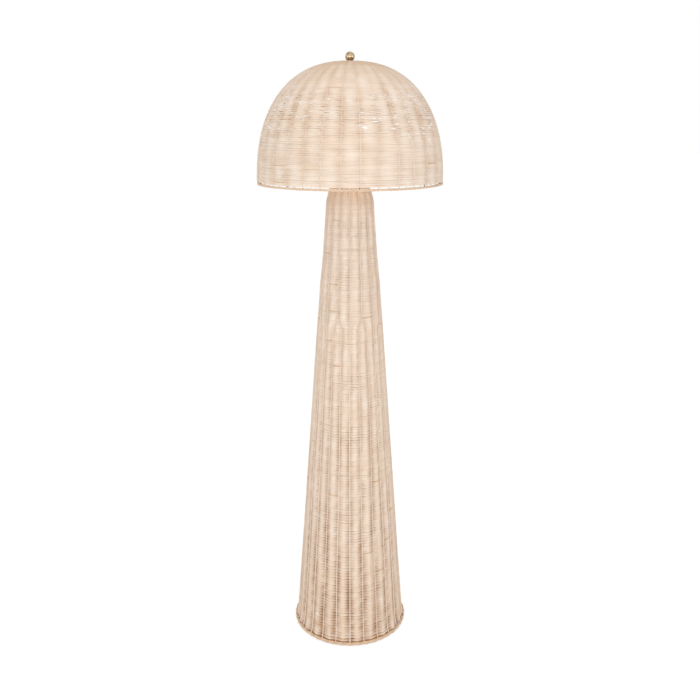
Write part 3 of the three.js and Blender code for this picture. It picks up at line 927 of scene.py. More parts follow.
@dataclass
class Weave(ABC):
    """Rows of strands in pairs, woven over hidden stakes and behind exposed ones.

    Two numbers are a value at the low and one at the high end of the profile, unless a line says more.

    Attributes:
        profile: the outer face over the ribs.
        rng: the seeded source of every draw.
        pair_pitches: distance from one pair of rows to the next.
        pitch_spread: share by which that varies.
        loose_gap: how much further apart pairs stand where the weave is loose.
        fill: share of the pitch that two strands fill.
        nesting: distance between the strands of a pair, as a share of their thickness.
        dive_depths: how deep a row dives behind an exposed stake.
        stake_depths: how deep the face of that stake lies.
        narrownesses: shape of the ribs, under 1 for broad crests, over 1 for broad valleys.
        wobble: how far rows stray from level, all together.
        stray: how far each strand strays by itself.
        loose_stray: how far it strays in a valley where the weave is loose.
        crest_stray_share: share of that on a crest.
        meander: how far the exposed stakes stray, as an angle.
        thickness_spread: share by which strands differ in thickness.
        unevenness: share by which a strand's thickness varies along it.
        uneven_offset: how far from a pair its strands read that, so that they differ.
        pinches: share by which a strand is thinner in a valley.
        mean_tone: mean tone of the strands.
        splices: fewest lengths in a strand, and the number that they stay under.
        splice_spread: how much their tones differ.
        brown_chance: chance of a brown stretch in a strand, between two stakes.
        brown_drop: how much darker that stretch is.
        patch_spread: how much the tone varies from place to place.
        band_spread: how much it varies from row to row.
        speck_chance: chance of a painted speck of light at a point of a strand where the weave is loose.
        speck_clustering: how much more often specks come in pale patches.
        long_specks: share of the specks that reach over two points.
        speck_tones: least and most tone of a speck.
        packed_stain: how much the stains and painted shade vary as the thickness does.
        streaked_stain: how much they vary in streaks along the ribs.
        stain_limits: least and most share of the stains and painted shade that this leaves.
        inner_depth: how deep inner strands run behind the valleys, in radii of one.
        inner_tone: their tone where the weave is tight; where it is loose it is 1: painted light in the
            gaps.
        inner_hollow: how much of the stains and painted shade reaches them where the weave is tight.
        points_per_turn: points of one strand's centreline.
        inner_points: points of an inner strand's centreline.
        level_waves: waves of the rows' wobble.
        packing_waves: waves of the thickness.
        patch_waves: waves of the patches of tone.
        band_waves: waves of the tone from row to row.
        streak_waves: waves of the streaks of stain.
        bend_waves: waves of the exposed stakes' strays.
        slow_waves: long waves of one strand's stray.
        quick_waves: short waves of a loose strand's stray.
    """

    profile: Profile
    rng: np.random.Generator
    pair_pitches: Point
    pitch_spread: float = 0.02
    loose_gap: float = 0.0
    fill: float = 1.1
    nesting: float = 0.87
    dive_depths: Point = (0.0046, 0.0028)
    stake_depths: Point = (0.003, 0.0013)
    narrownesses: Point = (0.8, 0.8)
    wobble: float = 0.0005
    stray: float = 0.0001
    loose_stray: float = 0.0006
    crest_stray_share: float = 0.3
    meander: float = 0.0
    thickness_spread: float = 0.05
    unevenness: float = 0.04
    uneven_offset: float = 0.05
    pinches: Point = (0.05, 0.0)
    mean_tone: float = 0.75
    splices: tuple[int, int] = (1, 4)
    splice_spread: float = 0.04
    brown_chance: float = 0.12
    brown_drop: float = 0.6
    patch_spread: float = 0.05
    band_spread: float = 0.02
    speck_chance: float = 0.015
    speck_clustering: float = 0.5
    long_specks: float = 0.5
    speck_tones: Point = (1.15, 1.45)
    packed_stain: float = 0.22
    streaked_stain: float = 0.32
    stain_limits: Point = (0.2, 2)
    inner_depth: float = 2.6
    inner_tone: float = 0.6
    inner_hollow: float = 0.6
    points_per_turn: int = 144
    inner_points: int = 64
    level_waves: Waves = Waves(12, (1, 9), 0.12)
    packing_waves: Waves = Waves(16, (5, 40), 0.02)
    patch_waves: Waves = Waves(24, (2, 30), 0.05)
    band_waves: Waves = Waves(10, (0, 2), 0.012)
    streak_waves: Waves = Waves(24, (6, 34), 0.2)
    bend_waves: Waves = Waves(10, (2, 24), 0.5)
    slow_waves: Waves = Waves(5, (2, 12))
    quick_waves: Waves = Waves(10, (24, 72))
    level: Ripple = field(init=False)
    packing: Ripple = field(init=False)
    patches: Ripple = field(init=False)
    bands: Ripple = field(init=False)
    streaks: Ripple = field(init=False)
    bends: Ripple = field(init=False)

    def __post_init__(self) -> None:
        """Draw the fields that all rows and stakes share."""
        self.level = Ripple.seeded(self.rng, self.level_waves)
        self.packing = Ripple.seeded(self.rng, self.packing_waves)
        self.patches = Ripple.seeded(self.rng, self.patch_waves)
        self.bands = Ripple.seeded(self.rng, self.band_waves)
        self.streaks = Ripple.seeded(self.rng, self.streak_waves)
        self.bends = Ripple.seeded(self.rng, self.bend_waves)

    @abstractmethod
    def base_angles(self, distance: float) -> np.ndarray:
        """Angles of the exposed stakes there, before they stray."""

    @abstractmethod
    def full_gap(self) -> float:
        """Angle between two exposed stakes over which a rib has its whole height."""

    @abstractmethod
    def stain_and_shade_at(self, distance: float) -> float:
        """Share of the stains and painted shade that gather in a valley there."""

    @abstractmethod
    def trend(self, distance: float) -> float:
        """Mean tone there."""

    def band(self, distance: float) -> float:
        """How loose the weave is all round there, from 0 to 1."""
        return 0.0

    def openness(self, distance: float) -> float:
        """Height of the ribs there, as a share of what the depths say."""
        return 1.0

    def looseness(self, angles: np.ndarray, distance: float) -> np.ndarray:
        """How loose the weave is at each angle, from 0 to 1."""
        return np.full(len(angles), self.band(distance))

    def share(self, distance: np.ndarray | float) -> np.ndarray | float:
        """Share of the way up the profile."""
        return distance / self.profile.length

    def between(self, ends: Point, distance: np.ndarray | float) -> np.ndarray | float:
        """Value there of a size that runs evenly from the low end to the high end."""
        return ends[0] + (ends[1] - ends[0]) * self.share(distance)

    def pitch(self, distance: float) -> float:
        """Distance between pairs of rows there."""
        return self.between(self.pair_pitches, distance) + self.loose_gap * self.band(distance)

    def strand_radius(self, distance: np.ndarray | float) -> np.ndarray | float:
        """Radius of a strand there: two strands fill the pitch where the weave is tight."""
        return self.between(self.pair_pitches, distance) * self.fill / 4

    def dive_depth(self, distance: float) -> float:
        """How deep a row dives behind an exposed stake there."""
        return self.openness(distance) * self.between(self.dive_depths, distance)

    def strayed(self, angles: np.ndarray, distance: np.ndarray | float) -> np.ndarray:
        """Angles with their small strays, at one distance or at one distance each."""
        return angles + self.meander * self.bends.at(angles, distance)

    def stakes(self, distance: float) -> np.ndarray:
        """Angles of the exposed stakes there, in rising order."""
        return np.sort(np.mod(self.strayed(self.base_angles(distance), distance), TURN))

    def dives(self, angles: np.ndarray, distance: float) -> np.ndarray:
        """Find how far a row has dived.

        Args:
            angles: angles round the lamp.
            distance: distance of the row along the profile.

        Returns:
            For each angle, 0 on a crest and 1 behind an exposed stake.
        """
        stakes = self.stakes(distance)
        ring = np.concatenate([stakes[-1:] - TURN, stakes, stakes[:1] + TURN])
        right = np.clip(np.searchsorted(ring, angles, side="right"), 1, len(ring) - 1)
        gaps = np.maximum(ring[right] - ring[right - 1], SMALLEST_GAP)
        nearest = np.minimum(angles - ring[right - 1], ring[right] - angles)
        shares = np.clip(2 * nearest / gaps, 0, 1) ** self.between(self.narrownesses, distance)
        rise = 0.5 * (1 - np.cos(math.pi * shares))
        return 1 - rise * np.minimum(1, gaps / self.full_gap())

    def tones(self, angles: np.ndarray, distance: float, dives: np.ndarray) -> np.ndarray:
        """Tone of one strand round the lamp.

        A strand is a few spliced lengths, with a brown stretch now and then, and with painted specks of
        light in the valleys where the weave is loose, where light would show through it.

        Args:
            angles: angles round the lamp.
            distance: distance of its pair along the profile.
            dives: how far it has dived at each angle.

        Returns:
            The tone at each angle.
        """
        patches = self.patches.at(angles, distance)
        varied = self.patch_spread * patches + self.band_spread * self.bands.at(angles, distance)
        plain = self.trend(distance) + self._spliced(angles, distance) + varied
        # Painted specks of light in the valleys where the weave is loose
        clusters = np.clip(1 + self.speck_clustering * patches, 0, 2)
        chance = self.speck_chance * self.looseness(angles, distance) ** 2 * dives * clusters
        starts = self.rng.random(len(angles)) < chance
        longer = np.roll(starts & (self.rng.random(len(angles)) < self.long_specks), 1)
        return np.where(starts | longer, self.rng.uniform(*self.speck_tones), plain)

    def _spliced(self, angles: np.ndarray, distance: float) -> np.ndarray:
        """Draw the lengths that a strand is spliced from, and its brown stretch.

        Args:
            angles: angles round the lamp.
            distance: distance of its pair along the profile.

        Returns:
            How much paler than the mean the strand is at each angle.
        """
        cuts = np.sort(self.rng.uniform(0, TURN, self.rng.integers(*self.splices)))
        lengths = self.rng.normal(0, self.splice_spread, len(cuts) + 1)
        lengths[-1] = lengths[0]
        own = lengths[np.searchsorted(cuts, angles)]
        if self.rng.random() < self.brown_chance:
            stakes = self.stakes(distance)
            index = self.rng.integers(len(stakes) - 1)
            brown = (angles > stakes[index]) & (angles < stakes[index + 1])
            own = np.where(brown, own - self.brown_drop, own)
        return own

    def _strays(self, angles: np.ndarray, distance: float, dives: np.ndarray) -> np.ndarray:
        """Draw how far a strand strays from level.

        Args:
            angles: angles round the lamp.
            distance: distance of its pair along the profile.
            dives: how far it has dived at each angle.

        Returns:
            How far up it strays at each angle.
        """
        slow = Ripple.seeded(self.rng, self.slow_waves).at(angles, 0.0)
        quick = Ripple.seeded(self.rng, self.quick_waves).at(angles, 0.0)
        valley = self.crest_stray_share + (1 - self.crest_stray_share) * dives
        loose = self.loose_stray * quick * self.looseness(angles, distance) * valley
        return self.wobble * self.level.at(angles, distance) + self.stray * slow + loose

    def _hollows(self, angles: np.ndarray, distance: float, dives: np.ndarray) -> np.ndarray:
        """Find how much of the stains and painted shade reaches a strand.

        Args:
            angles: angles round the lamp.
            distance: distance of its pair along the profile.
            dives: how far it has dived at each angle.

        Returns:
            The share of the stains and painted shade at each angle.
        """
        packed = self.packed_stain * self.packing.at(angles, distance)
        uneven = packed + self.streaked_stain * self.streaks.at(angles, distance)
        return dives * self.stain_and_shade_at(distance) * np.clip(1 + uneven, *self.stain_limits)

    def row(self, distance: float, side: int) -> Strand:
        """Make one strand of a pair.

        Args:
            distance: distance of the pair along the profile.
            side: -1 for its lower strand and 1 for its upper one.

        Returns:
            The strand, as a ring.
        """
        angles = np.linspace(0, TURN, self.points_per_turn, endpoint=False)
        dives = self.dives(angles, distance)
        radius = self.strand_radius(distance) * strayed_share(self.rng, self.thickness_spread)
        thicker = self.unevenness * self.packing.at(angles, distance + side * self.uneven_offset)
        radii = radius * (1 + thicker - self.between(self.pinches, distance) * dives)
        middle = distance + side * self.nesting * self.strand_radius(distance)
        places = np.clip(middle + self._strays(angles, distance, dives), radius, None)
        depths = radius + self.dive_depth(distance) * dives
        points = around(*self.profile.place(places, depths), angles)
        outward = self.profile.outward(places, angles)
        tones = self.tones(angles, distance, dives)
        return Strand(points, outward, radii, tones, self._hollows(angles, distance, dives), side=side)

    def inner_row(self, distance: float) -> Strand:
        """Make one strand that runs behind the valleys, level with the gap between two pairs.

        Args:
            distance: distance of that gap along the profile.

        Returns:
            The strand, as a ring.
        """
        angles = np.linspace(0, TURN, self.inner_points, endpoint=False)
        radius = self.strand_radius(distance)
        places = np.full(len(angles), distance)
        depth = self.inner_depth * radius + self.dive_depth(distance)
        points = around(*self.profile.place(places, depth), angles)
        level = np.ones(len(angles))
        # Painted shade behind the tight weave, and painted light behind the loose band
        tones = level * (self.inner_tone + (1 - self.inner_tone) * self.band(distance))
        hollows = level * self.inner_hollow * (1 - self.band(distance))
        return Strand(points, self.profile.outward(places, angles), level * radius, tones, hollows)

    def rows(self) -> tuple[list[Strand], list[Strand]]:
        """Make every row from the low end to the high end.

        Returns:
            The strands in pairs, and those behind them.
        """
        pairs, inner = [], []
        distance = self.pitch(0) / 2
        while distance < self.profile.length - self.pitch(distance) / 2:
            pairs += [self.row(distance, -1), self.row(distance, 1)]
            inner.append(self.inner_row(distance + self.pitch(distance) / 2))
            distance += self.pitch(distance) * strayed_share(self.rng, self.pitch_spread)
        return pairs, inner

    def exposed_stake(self, distances: np.ndarray, angles: np.ndarray, radius: float, tone: float,
                      hollow: np.ndarray | float, sunk: float = 0.0) -> Strand:
        """Lay a stake that shows in a valley.

        Args:
            distances: distances along the profile, one for each point.
            angles: angles round the lamp before they stray, one for each point.
            radius: its radius.
            tone: its tone.
            hollow: how much of the stains and painted shade reaches it, or one such value for each point.
            sunk: how much deeper it lies than it should.

        Returns:
            The stake, as an open strand.
        """
        faces = np.array([self.openness(d) * self.between(self.stake_depths, d) for d in distances])
        depths = radius + faces + sunk
        return self._stake(distances, self.strayed(angles, distances), depths, radius, tone, hollow)

    def hidden_stake(self, distances: np.ndarray, angle: float, radius: float, tone: float) -> Strand:
        """Lay a stake that the crest of a rib hides.

        Args:
            distances: distances along the profile, one for each point.
            angle: its angle round the lamp.
            radius: its radius.
            tone: its tone.

        Returns:
            The stake, as an open strand.
        """
        angles = np.full(len(distances), angle)
        return self._stake(distances, angles, radius + 2 * self.strand_radius(distances), radius, tone, 0.0)

    def _stake(self, distances: np.ndarray, angles: np.ndarray, depths: np.ndarray, radius: float,
               tone: float, hollow: np.ndarray | float) -> Strand:
        """Lay a stake along the profile.

        Args:
            distances: distances along the profile, one for each point.
            angles: angles round the lamp, one for each point.
            depths: how deep its centreline lies inside the face, one for each point.
            radius: its radius.
            tone: its tone.
            hollow: how much of the stains and painted shade reaches it, or one such value for each point.

        Returns:
            The stake, as an open strand.
        """
        points = around(*self.profile.place(distances, depths), angles)
        outward = self.profile.outward(distances, angles)
        level = np.ones(len(distances))
        return Strand(points, outward, level * radius, level * tone, level * hollow, is_ring=False)


def between_stakes(count: int) -> np.ndarray:
    """Angles in the middle between stakes, where so many stand round the lamp."""
    return (np.arange(count) + 0.5) * TURN / count


def rooted(strand: Strand, radius: float, height: float) -> None:
    """Draw the low end of a stake into the middle of a border."""
    strand.points[0, :2] *= radius / np.hypot(*strand.points[0, :2])
    strand.points[0, 2] = height


def ring(radius: float, height: float, strand_radius: float, hollow: float) -> Strand:
    """Lay one plain ring of rattan.

    Args:
        radius: radius of its middle line.
        height: height of that line.
        strand_radius: its thickness, as a radius.
        hollow: how much of the stains and painted shade reaches it.

    Returns:
        The ring.
    """
    angles = np.linspace(0, TURN, RING_POINTS, endpoint=False)
    level = np.zeros(RING_POINTS)
    points = around(level + radius, level + height, angles)
    return Strand(points, around(level + 1, level, angles), level + strand_radius, level, level + hollow)


@dataclass(frozen=True)
class Plait:
    """A border plaited of three strands.

    Attributes:
        radius: radius of its middle line.
        height: height of that line.
        size: radius of its section.
        strand_radius: radius of one strand.
        waves: how often each strand comes round, over the whole border.
        tone: mean tone of the strands.
        points_per_wave: points of a strand's centreline from one wave to the next.
        depth_share: how far strands swing in and out, as a share of how far they swing up and down.
        crossing_hollow: how much of the stains and painted shade reaches a strand where it crosses another.
        tone_spread: how much the tone varies along a strand.
        tone_waves: what that is drawn from.
    """

    radius: float
    height: float
    size: float
    strand_radius: float
    waves: int
    tone: float
    points_per_wave: int = 10
    depth_share: float = 0.6
    crossing_hollow: float = 0.5
    tone_spread: float = 0.1
    tone_waves: Waves = Waves(8, (2, 30))

    def strands(self, rng: np.random.Generator) -> list[Strand]:
        """Lay the three strands, with tones drawn from a seeded source."""
        angles = np.linspace(0, TURN, self.waves * self.points_per_wave, endpoint=False)
        return [self._strand(angles, self.waves * angles + index * TURN / 3, rng) for index in range(3)]

    def _strand(self, angles: np.ndarray, phase: np.ndarray, rng: np.random.Generator) -> Strand:
        """Lay one strand.

        Args:
            angles: angles round the lamp.
            phase: how far round the border's section the strand is at each of them.
            rng: the seeded source of its tones.

        Returns:
            The strand, as a ring.
        """
        level = np.ones(len(angles))
        swing = self.size - self.strand_radius
        reach = self.radius + swing * self.depth_share * np.sin(2 * phase)
        points = around(reach, self.height + swing * np.sin(phase), angles)
        tones = self.tone + self.tone_spread * Ripple.seeded(rng, self.tone_waves).at(angles, 0.0)
        hollows = self.crossing_hollow * np.cos(phase) ** 2
        return Strand(points, around(level, 0 * level, angles), level * self.strand_radius, tones, hollows)


def in_parts(strands: list[Strand], parts: int) -> list[list[Strand]]:
    """Share out strands, in order, over a number of parts."""
    edges = np.linspace(0, len(strands), parts + 1).astype(int)
    return [strands[start:end] for start, end in zip(edges, edges[1:])]


def woven(weave: Weave, name: str, parts: int, finish: bpy.types.Material, body: str) -> None:
    """Make the rows of a weave: those in pairs in a few pieces, and those behind them in one.

    Args:
        weave: the weave.
        name: what it is the weave of.
        parts: how many pieces hold the pairs.
        finish: the material of the strands.
        body: the CAD body that they ride on.
    """
    pairs, inner = weave.rows()
    for index, strands in enumerate(in_parts(pairs, parts)):
        piece = dressed(tubes(f"{name}_rows_{index + 1}", strands, Section.ROUND), finish)
        settled(piece, body, "rattan", f"{name}_weave")
    settled(dressed(tubes(f"{name}_inner_rows", inner, Section.PLAIN), finish), body, "rattan")


# The column


@dataclass
class ColumnWeave(Weave):
    """The column's weave: three ribs for each fork below the forks, and two above them.

    Attributes:
        fork_start: distance along the profile where forked stakes begin to close.
        fork_end: distance where each pair of them has met.
        forks: how many forks there are, and straight stakes between them.
        low_spread: angle from a fork to each of its two stakes at the foot.
        patch_angle: angle of the middle of a patch where the weave is loose.
        patch_width: how far the patch spreads to either side.
        patch_start: distance along the profile where the patch starts.
        patch_end: distance where it ends.
        patch_parts: its two edges each take one of so many equal parts of it.
        foot_looseness: how loose the weave is at the foot.
        foot_reach: distance along the profile over which that fades.
        neck_stain: share of the stains and painted shade in a valley at the neck.
        foot_stain: how much more of it there is at the foot.
        painted_shadow_drop: how much darker the strands are at the neck, under the shade: a painted shadow.
        painted_shadow_reach: distance from the neck over which that fades.
        upper_lift: how much paler they are in the upper half: painted light.
        painted_light_reach: distance from the neck over which that fades.
        foot_drop: how much darker they are at the foot.
        foot_drop_reach: distance from the foot over which that fades.
    """

    pair_pitches: Point = (0.0082, 0.0058)
    narrownesses: Point = (1.3, 0.8)
    meander: float = math.radians(0.35)
    mean_tone: float = 0.68
    fork_start: float = 0.0
    fork_end: float = 0.0
    forks: int = 8
    low_spread: float = math.radians(7.5)
    patch_angle: float = math.radians(-28)
    patch_width: float = math.radians(10)
    patch_start: float = 0.1
    patch_end: float = 0.28
    patch_parts: int = 3
    foot_looseness: float = 0.35
    foot_reach: float = 0.5
    neck_stain: float = 0.45
    foot_stain: float = 0.85
    painted_shadow_drop: float = 0.5
    painted_shadow_reach: float = 0.1
    upper_lift: float = 0.1
    painted_light_reach: float = 0.5
    foot_drop: float = 0.15
    foot_drop_reach: float = 0.4

    def straight(self) -> np.ndarray:
        """Angles of the stakes that run from foot to neck."""
        return np.arange(self.forks) * TURN / self.forks

    def forked(self, distance: np.ndarray | float, side: int) -> np.ndarray:
        """Find the stakes on one side of the forks, before they stray.

        Args:
            distance: one distance along the profile, or several.
            side: -1 or 1, or 0 for the middle between both.

        Returns:
            Their angles at each distance.
        """
        closed = eased((np.asarray(distance) - self.fork_start) / (self.fork_end - self.fork_start))
        middle = self.straight() + TURN / self.forks / 2
        return np.add.outer(side * self.low_spread * (1 - closed), middle)

    def base_angles(self, distance: float) -> np.ndarray:
        """Angles of the exposed stakes there, before they stray."""
        return np.concatenate([self.straight(), self.forked(distance, -1), self.forked(distance, 1)])

    def full_gap(self) -> float:
        """Angle between two exposed stakes over which a rib has its whole height."""
        return TURN / (3 * self.forks)

    def looseness(self, angles: np.ndarray, distance: float) -> np.ndarray:
        """Find how loose the weave is: most in one patch near the foot.

        Args:
            angles: angles round the lamp.
            distance: distance along the profile.

        Returns:
            How loose it is at each angle, from 0 to 1.
        """
        away = np.mod(angles - self.patch_angle + math.pi, TURN) - math.pi
        along = plateau(distance, self.patch_start, self.patch_end, self.patch_parts)
        foot = self.foot_looseness * fade(distance, self.foot_reach)
        return np.maximum(foot, along * np.exp(-(away / self.patch_width) ** 2))

    def stain_and_shade_at(self, distance: float) -> float:
        """Share of the stains and painted shade that gather in a valley there: most at the foot."""
        return self.neck_stain + self.foot_stain * (1 - self.share(distance)) ** 2

    def trend(self, distance: float) -> float:
        """Find the mean tone: tan close under the shade as a painted shadow, a little paler in the upper
        half as painted light, and a little darker at the foot.

        Args:
            distance: distance along the profile.

        Returns:
            The mean tone there.
        """
        from_top = self.profile.length - distance
        # A painted shadow of the shade at the neck, and painted light over the upper half
        painted_shadow = self.painted_shadow_drop * fade(from_top, self.painted_shadow_reach)
        upper = self.upper_lift * fade(from_top, self.painted_light_reach)
        return self.mean_tone - (painted_shadow - upper) - self.foot_drop * fade(distance, self.foot_drop_reach)


@dataclass
class Column:
    """The woven column on the stand: weave, stakes, border, frame and cord grommet.

    Its outline repeats the sizes of the CAD part. Tones of two numbers are a mean and a spread.
    """

    foot_radius: float = 0.1553
    foot_flare: float = 0.0057
    flare_height: float = 0.04
    taper_top_height: float = 1.0
    taper_top_radius: float = 0.0806
    throat_height: float = 1.058
    throat_radius: float = 0.0742
    shoulder_start_height: float = 1.193
    shoulder_start_radius: float = 0.0642
    shoulder_rise: float = 0.071
    neck_opening_radius: float = 0.028
    bottom: float = 0.0111
    border_gap: float = 0.0015
    fork_start_height: float = 0.885
    fork_end_height: float = 0.918
    fork_overrun: float = 0.004
    fork_overlap: float = 0.02
    stake_radius: float = 0.0014
    stake_step: float = 0.008
    border_height: float = 0.0064
    border_radius: float = 0.0044
    border_strand_radius: float = 0.0023
    border_waves: int = 14
    core_height: float = 0.0105
    core_radius: float = 0.0025
    straight_points: int = 300
    shoulder_points: int = 40
    row_parts: int = 4
    exposed_tones: Point = (0.72, 0.08)
    hidden_tones: Point = (0.6, 0.08)
    neck_hollow: float = 0.4
    border_tone: float = 0.15
    core_hollow: float = 3.0
    seed: int = 11

    @property
    def border_middle(self) -> float:
        """Radius of the border's middle line."""
        return self.foot_radius + self.foot_flare - self.border_radius

    def outline(self) -> Profile:
        """Trace the outer face over the ribs, from above the border to the neck.

        Returns:
            The outline.
        """
        start = self.bottom + self.border_gap
        straight = np.linspace(start, self.shoulder_start_height, self.straight_points)
        narrowing = self.taper_top_radius - self.foot_radius
        taper = self.foot_radius + narrowing * straight / self.taper_top_height
        taper += self.foot_flare * np.maximum(0, 1 - straight / self.flare_height) ** 2
        upper = np.interp(straight, [self.taper_top_height, self.throat_height, self.shoulder_start_height],
                          [self.taper_top_radius, self.throat_radius, self.shoulder_start_radius])
        radii = np.where(straight < self.taper_top_height, taper, upper)
        turn = np.linspace(0, TURN / 4, self.shoulder_points)[1:]
        span = self.shoulder_start_radius - self.neck_opening_radius
        return Profile(
            np.concatenate([radii, self.neck_opening_radius + span * np.cos(turn)]),
            np.concatenate([straight, self.shoulder_start_height + self.shoulder_rise * np.sin(turn)]),
        )

    def build(self, finishes: Finishes) -> None:
        """Make and dress the pieces of the column.

        Args:
            finishes: every finish of the lamp.
        """
        rng = np.random.default_rng(self.seed)
        profile = self.outline()
        weave = ColumnWeave(profile, rng, fork_start=profile.distance_at(self.fork_start_height),
                            fork_end=profile.distance_at(self.fork_end_height))
        woven(weave, "column", self.row_parts, finishes.column, "stand")
        low = np.arange(0, weave.fork_end + self.fork_overrun, self.stake_step)
        high = np.arange(weave.fork_end - self.fork_overlap, profile.length, self.stake_step)
        exposed = self._exposed_stakes(weave, rng, low, high)
        piece = dressed(tubes("column_exposed_stakes", exposed, Section.ROUND), finishes.column)
        settled(piece, "stand", "rattan")
        hidden = [weave.hidden_stake(run, angle, self.stake_radius, rng.normal(*self.hidden_tones))
                  for count, run in ((3 * weave.forks, low), (2 * weave.forks, high))
                  for angle in between_stakes(count)]
        piece = dressed(tubes("column_hidden_stakes", hidden, Section.PLAIN), finishes.column)
        settled(piece, "stand", "rattan")
        self._border(rng, finishes)
        dress_nodes(finishes.black_steel, "column_frame")
        dress_nodes(finishes.rubber, "cord_grommet")

    def _exposed_stakes(self, weave: ColumnWeave, rng: np.random.Generator, low: np.ndarray,
                        high: np.ndarray) -> list[Strand]:
        """Lay the exposed stakes.

        Args:
            weave: the column's weave.
            rng: the seeded source of their tones.
            low: distances along the profile below the forks.
            high: distances above them.

        Returns:
            The stakes.
        """
        whole = np.arange(0, weave.profile.length, self.stake_step)
        routes = [(whole, np.full(len(whole), angle)) for angle in weave.straight()]
        for index in range(weave.forks):
            routes += [(low, weave.forked(low, side)[:, index]) for side in (-1, 1)]
            routes.append((high, np.full(len(high), weave.forked(weave.fork_end, 0)[index])))
        stakes = []
        for distances, angles in routes:
            hollow = self.neck_hollow * distances / weave.profile.length
            tone = rng.normal(*self.exposed_tones)
            stakes.append(weave.exposed_stake(distances, angles, self.stake_radius, tone, hollow))
            if stakes[-1].points[0, 2] < self.flare_height:
                rooted(stakes[-1], self.border_middle, self.border_height)
        return stakes

    def _border(self, rng: np.random.Generator, finishes: Finishes) -> None:
        """Plait the ring that the column stands on, with a core behind it that is darkened into a painted
        shadow line.

        Args:
            rng: the seeded source of its tones.
            finishes: every finish of the lamp.
        """
        plait = Plait(self.border_middle, self.border_height, self.border_radius, self.border_strand_radius,
                      self.border_waves, self.border_tone)
        # The core behind the plait is darkened far past its strands: a painted shadow line above the border
        core = ring(self.border_middle - 2 * self.core_radius, self.core_height, self.core_radius,
                    self.core_hollow)
        piece = tubes("column_border_plait", [*plait.strands(rng), core], Section.FINE)
        settled(dressed(piece, finishes.peel), "stand", "rattan_peel", "column_border")


# The shade


@dataclass
class ShadeWeave(Weave):
    """The shade's weave: ribs from the rim to the crown, and a loose band round its middle.

    Attributes:
        band_start: distance along the profile where the loose band starts.
        band_end: distance where it ends.
        band_parts: its two edges each take one of so many equal parts of it.
        ribs: how many ribs there are.
        full_radius: radius over which ribs have their whole height.
        tight_stain: share of the stains and painted shade in a valley where the weave is tight.
        loose_stain: how much more of it there is where it is loose.
        crown_stain: how much less of it there would be in the middle of the crown.
        crown_painted_shade: how much darker the strands are at the crown, as painted shade.
        crown_start_share: share of the way up the profile where that starts.
        crown_reach_share: share of the profile over which it grows.
    """

    pair_pitches: Point = (0.0052, 0.005)
    loose_gap: float = 0.00012
    nesting: float = 0.9
    dive_depths: Point = (0.0016, 0.0016)
    stake_depths: Point = (0.0006, 0.0006)
    loose_stray: float = 0.0004
    meander: float = math.radians(0.5)
    speck_chance: float = 0.075
    points_per_turn: int = 192
    bend_waves: Waves = Waves(10, (3, 32), 0.3)
    band_start: float = 0.0
    band_end: float = 0.0
    band_parts: int = 4
    ribs: int = 32
    full_radius: float = 0.18
    tight_stain: float = 0.5
    loose_stain: float = 0.3
    crown_stain: float = 0.2
    crown_painted_shade: float = 0.45
    crown_start_share: float = 0.55
    crown_reach_share: float = 0.4

    def band(self, distance: float) -> float:
        """How loose the weave is all round there, from 0 to 1."""
        return plateau(distance, self.band_start, self.band_end, self.band_parts)

    def base_angles(self, distance: float) -> np.ndarray:
        """Angles of the exposed stakes, which are the same at every distance before they stray."""
        return between_stakes(self.ribs)

    def full_gap(self) -> float:
        """Angle between two exposed stakes over which a rib has its whole height."""
        return TURN / self.ribs

    def openness(self, distance: float) -> float:
        """Radius of the shade there as a share of the radius over which ribs are whole, 1 at most."""
        radius = float(self.profile.place(np.array([distance]), np.zeros(1))[0][0])
        return min(1.0, radius / self.full_radius)

    def stain_and_shade_at(self, distance: float) -> float:
        """Share of the stains and painted shade in a valley there: less towards the crown, more where it is
        loose.
        """
        less = self.crown_stain * (1 - self.openness(distance))
        return self.tight_stain + self.loose_stain * self.band(distance) - less

    def trend(self, distance: float) -> float:
        """Mean tone there: darker towards the crown, as painted shade."""
        growth = eased((self.share(distance) - self.crown_start_share) / self.crown_reach_share)
        return self.mean_tone - self.crown_painted_shade * float(growth)


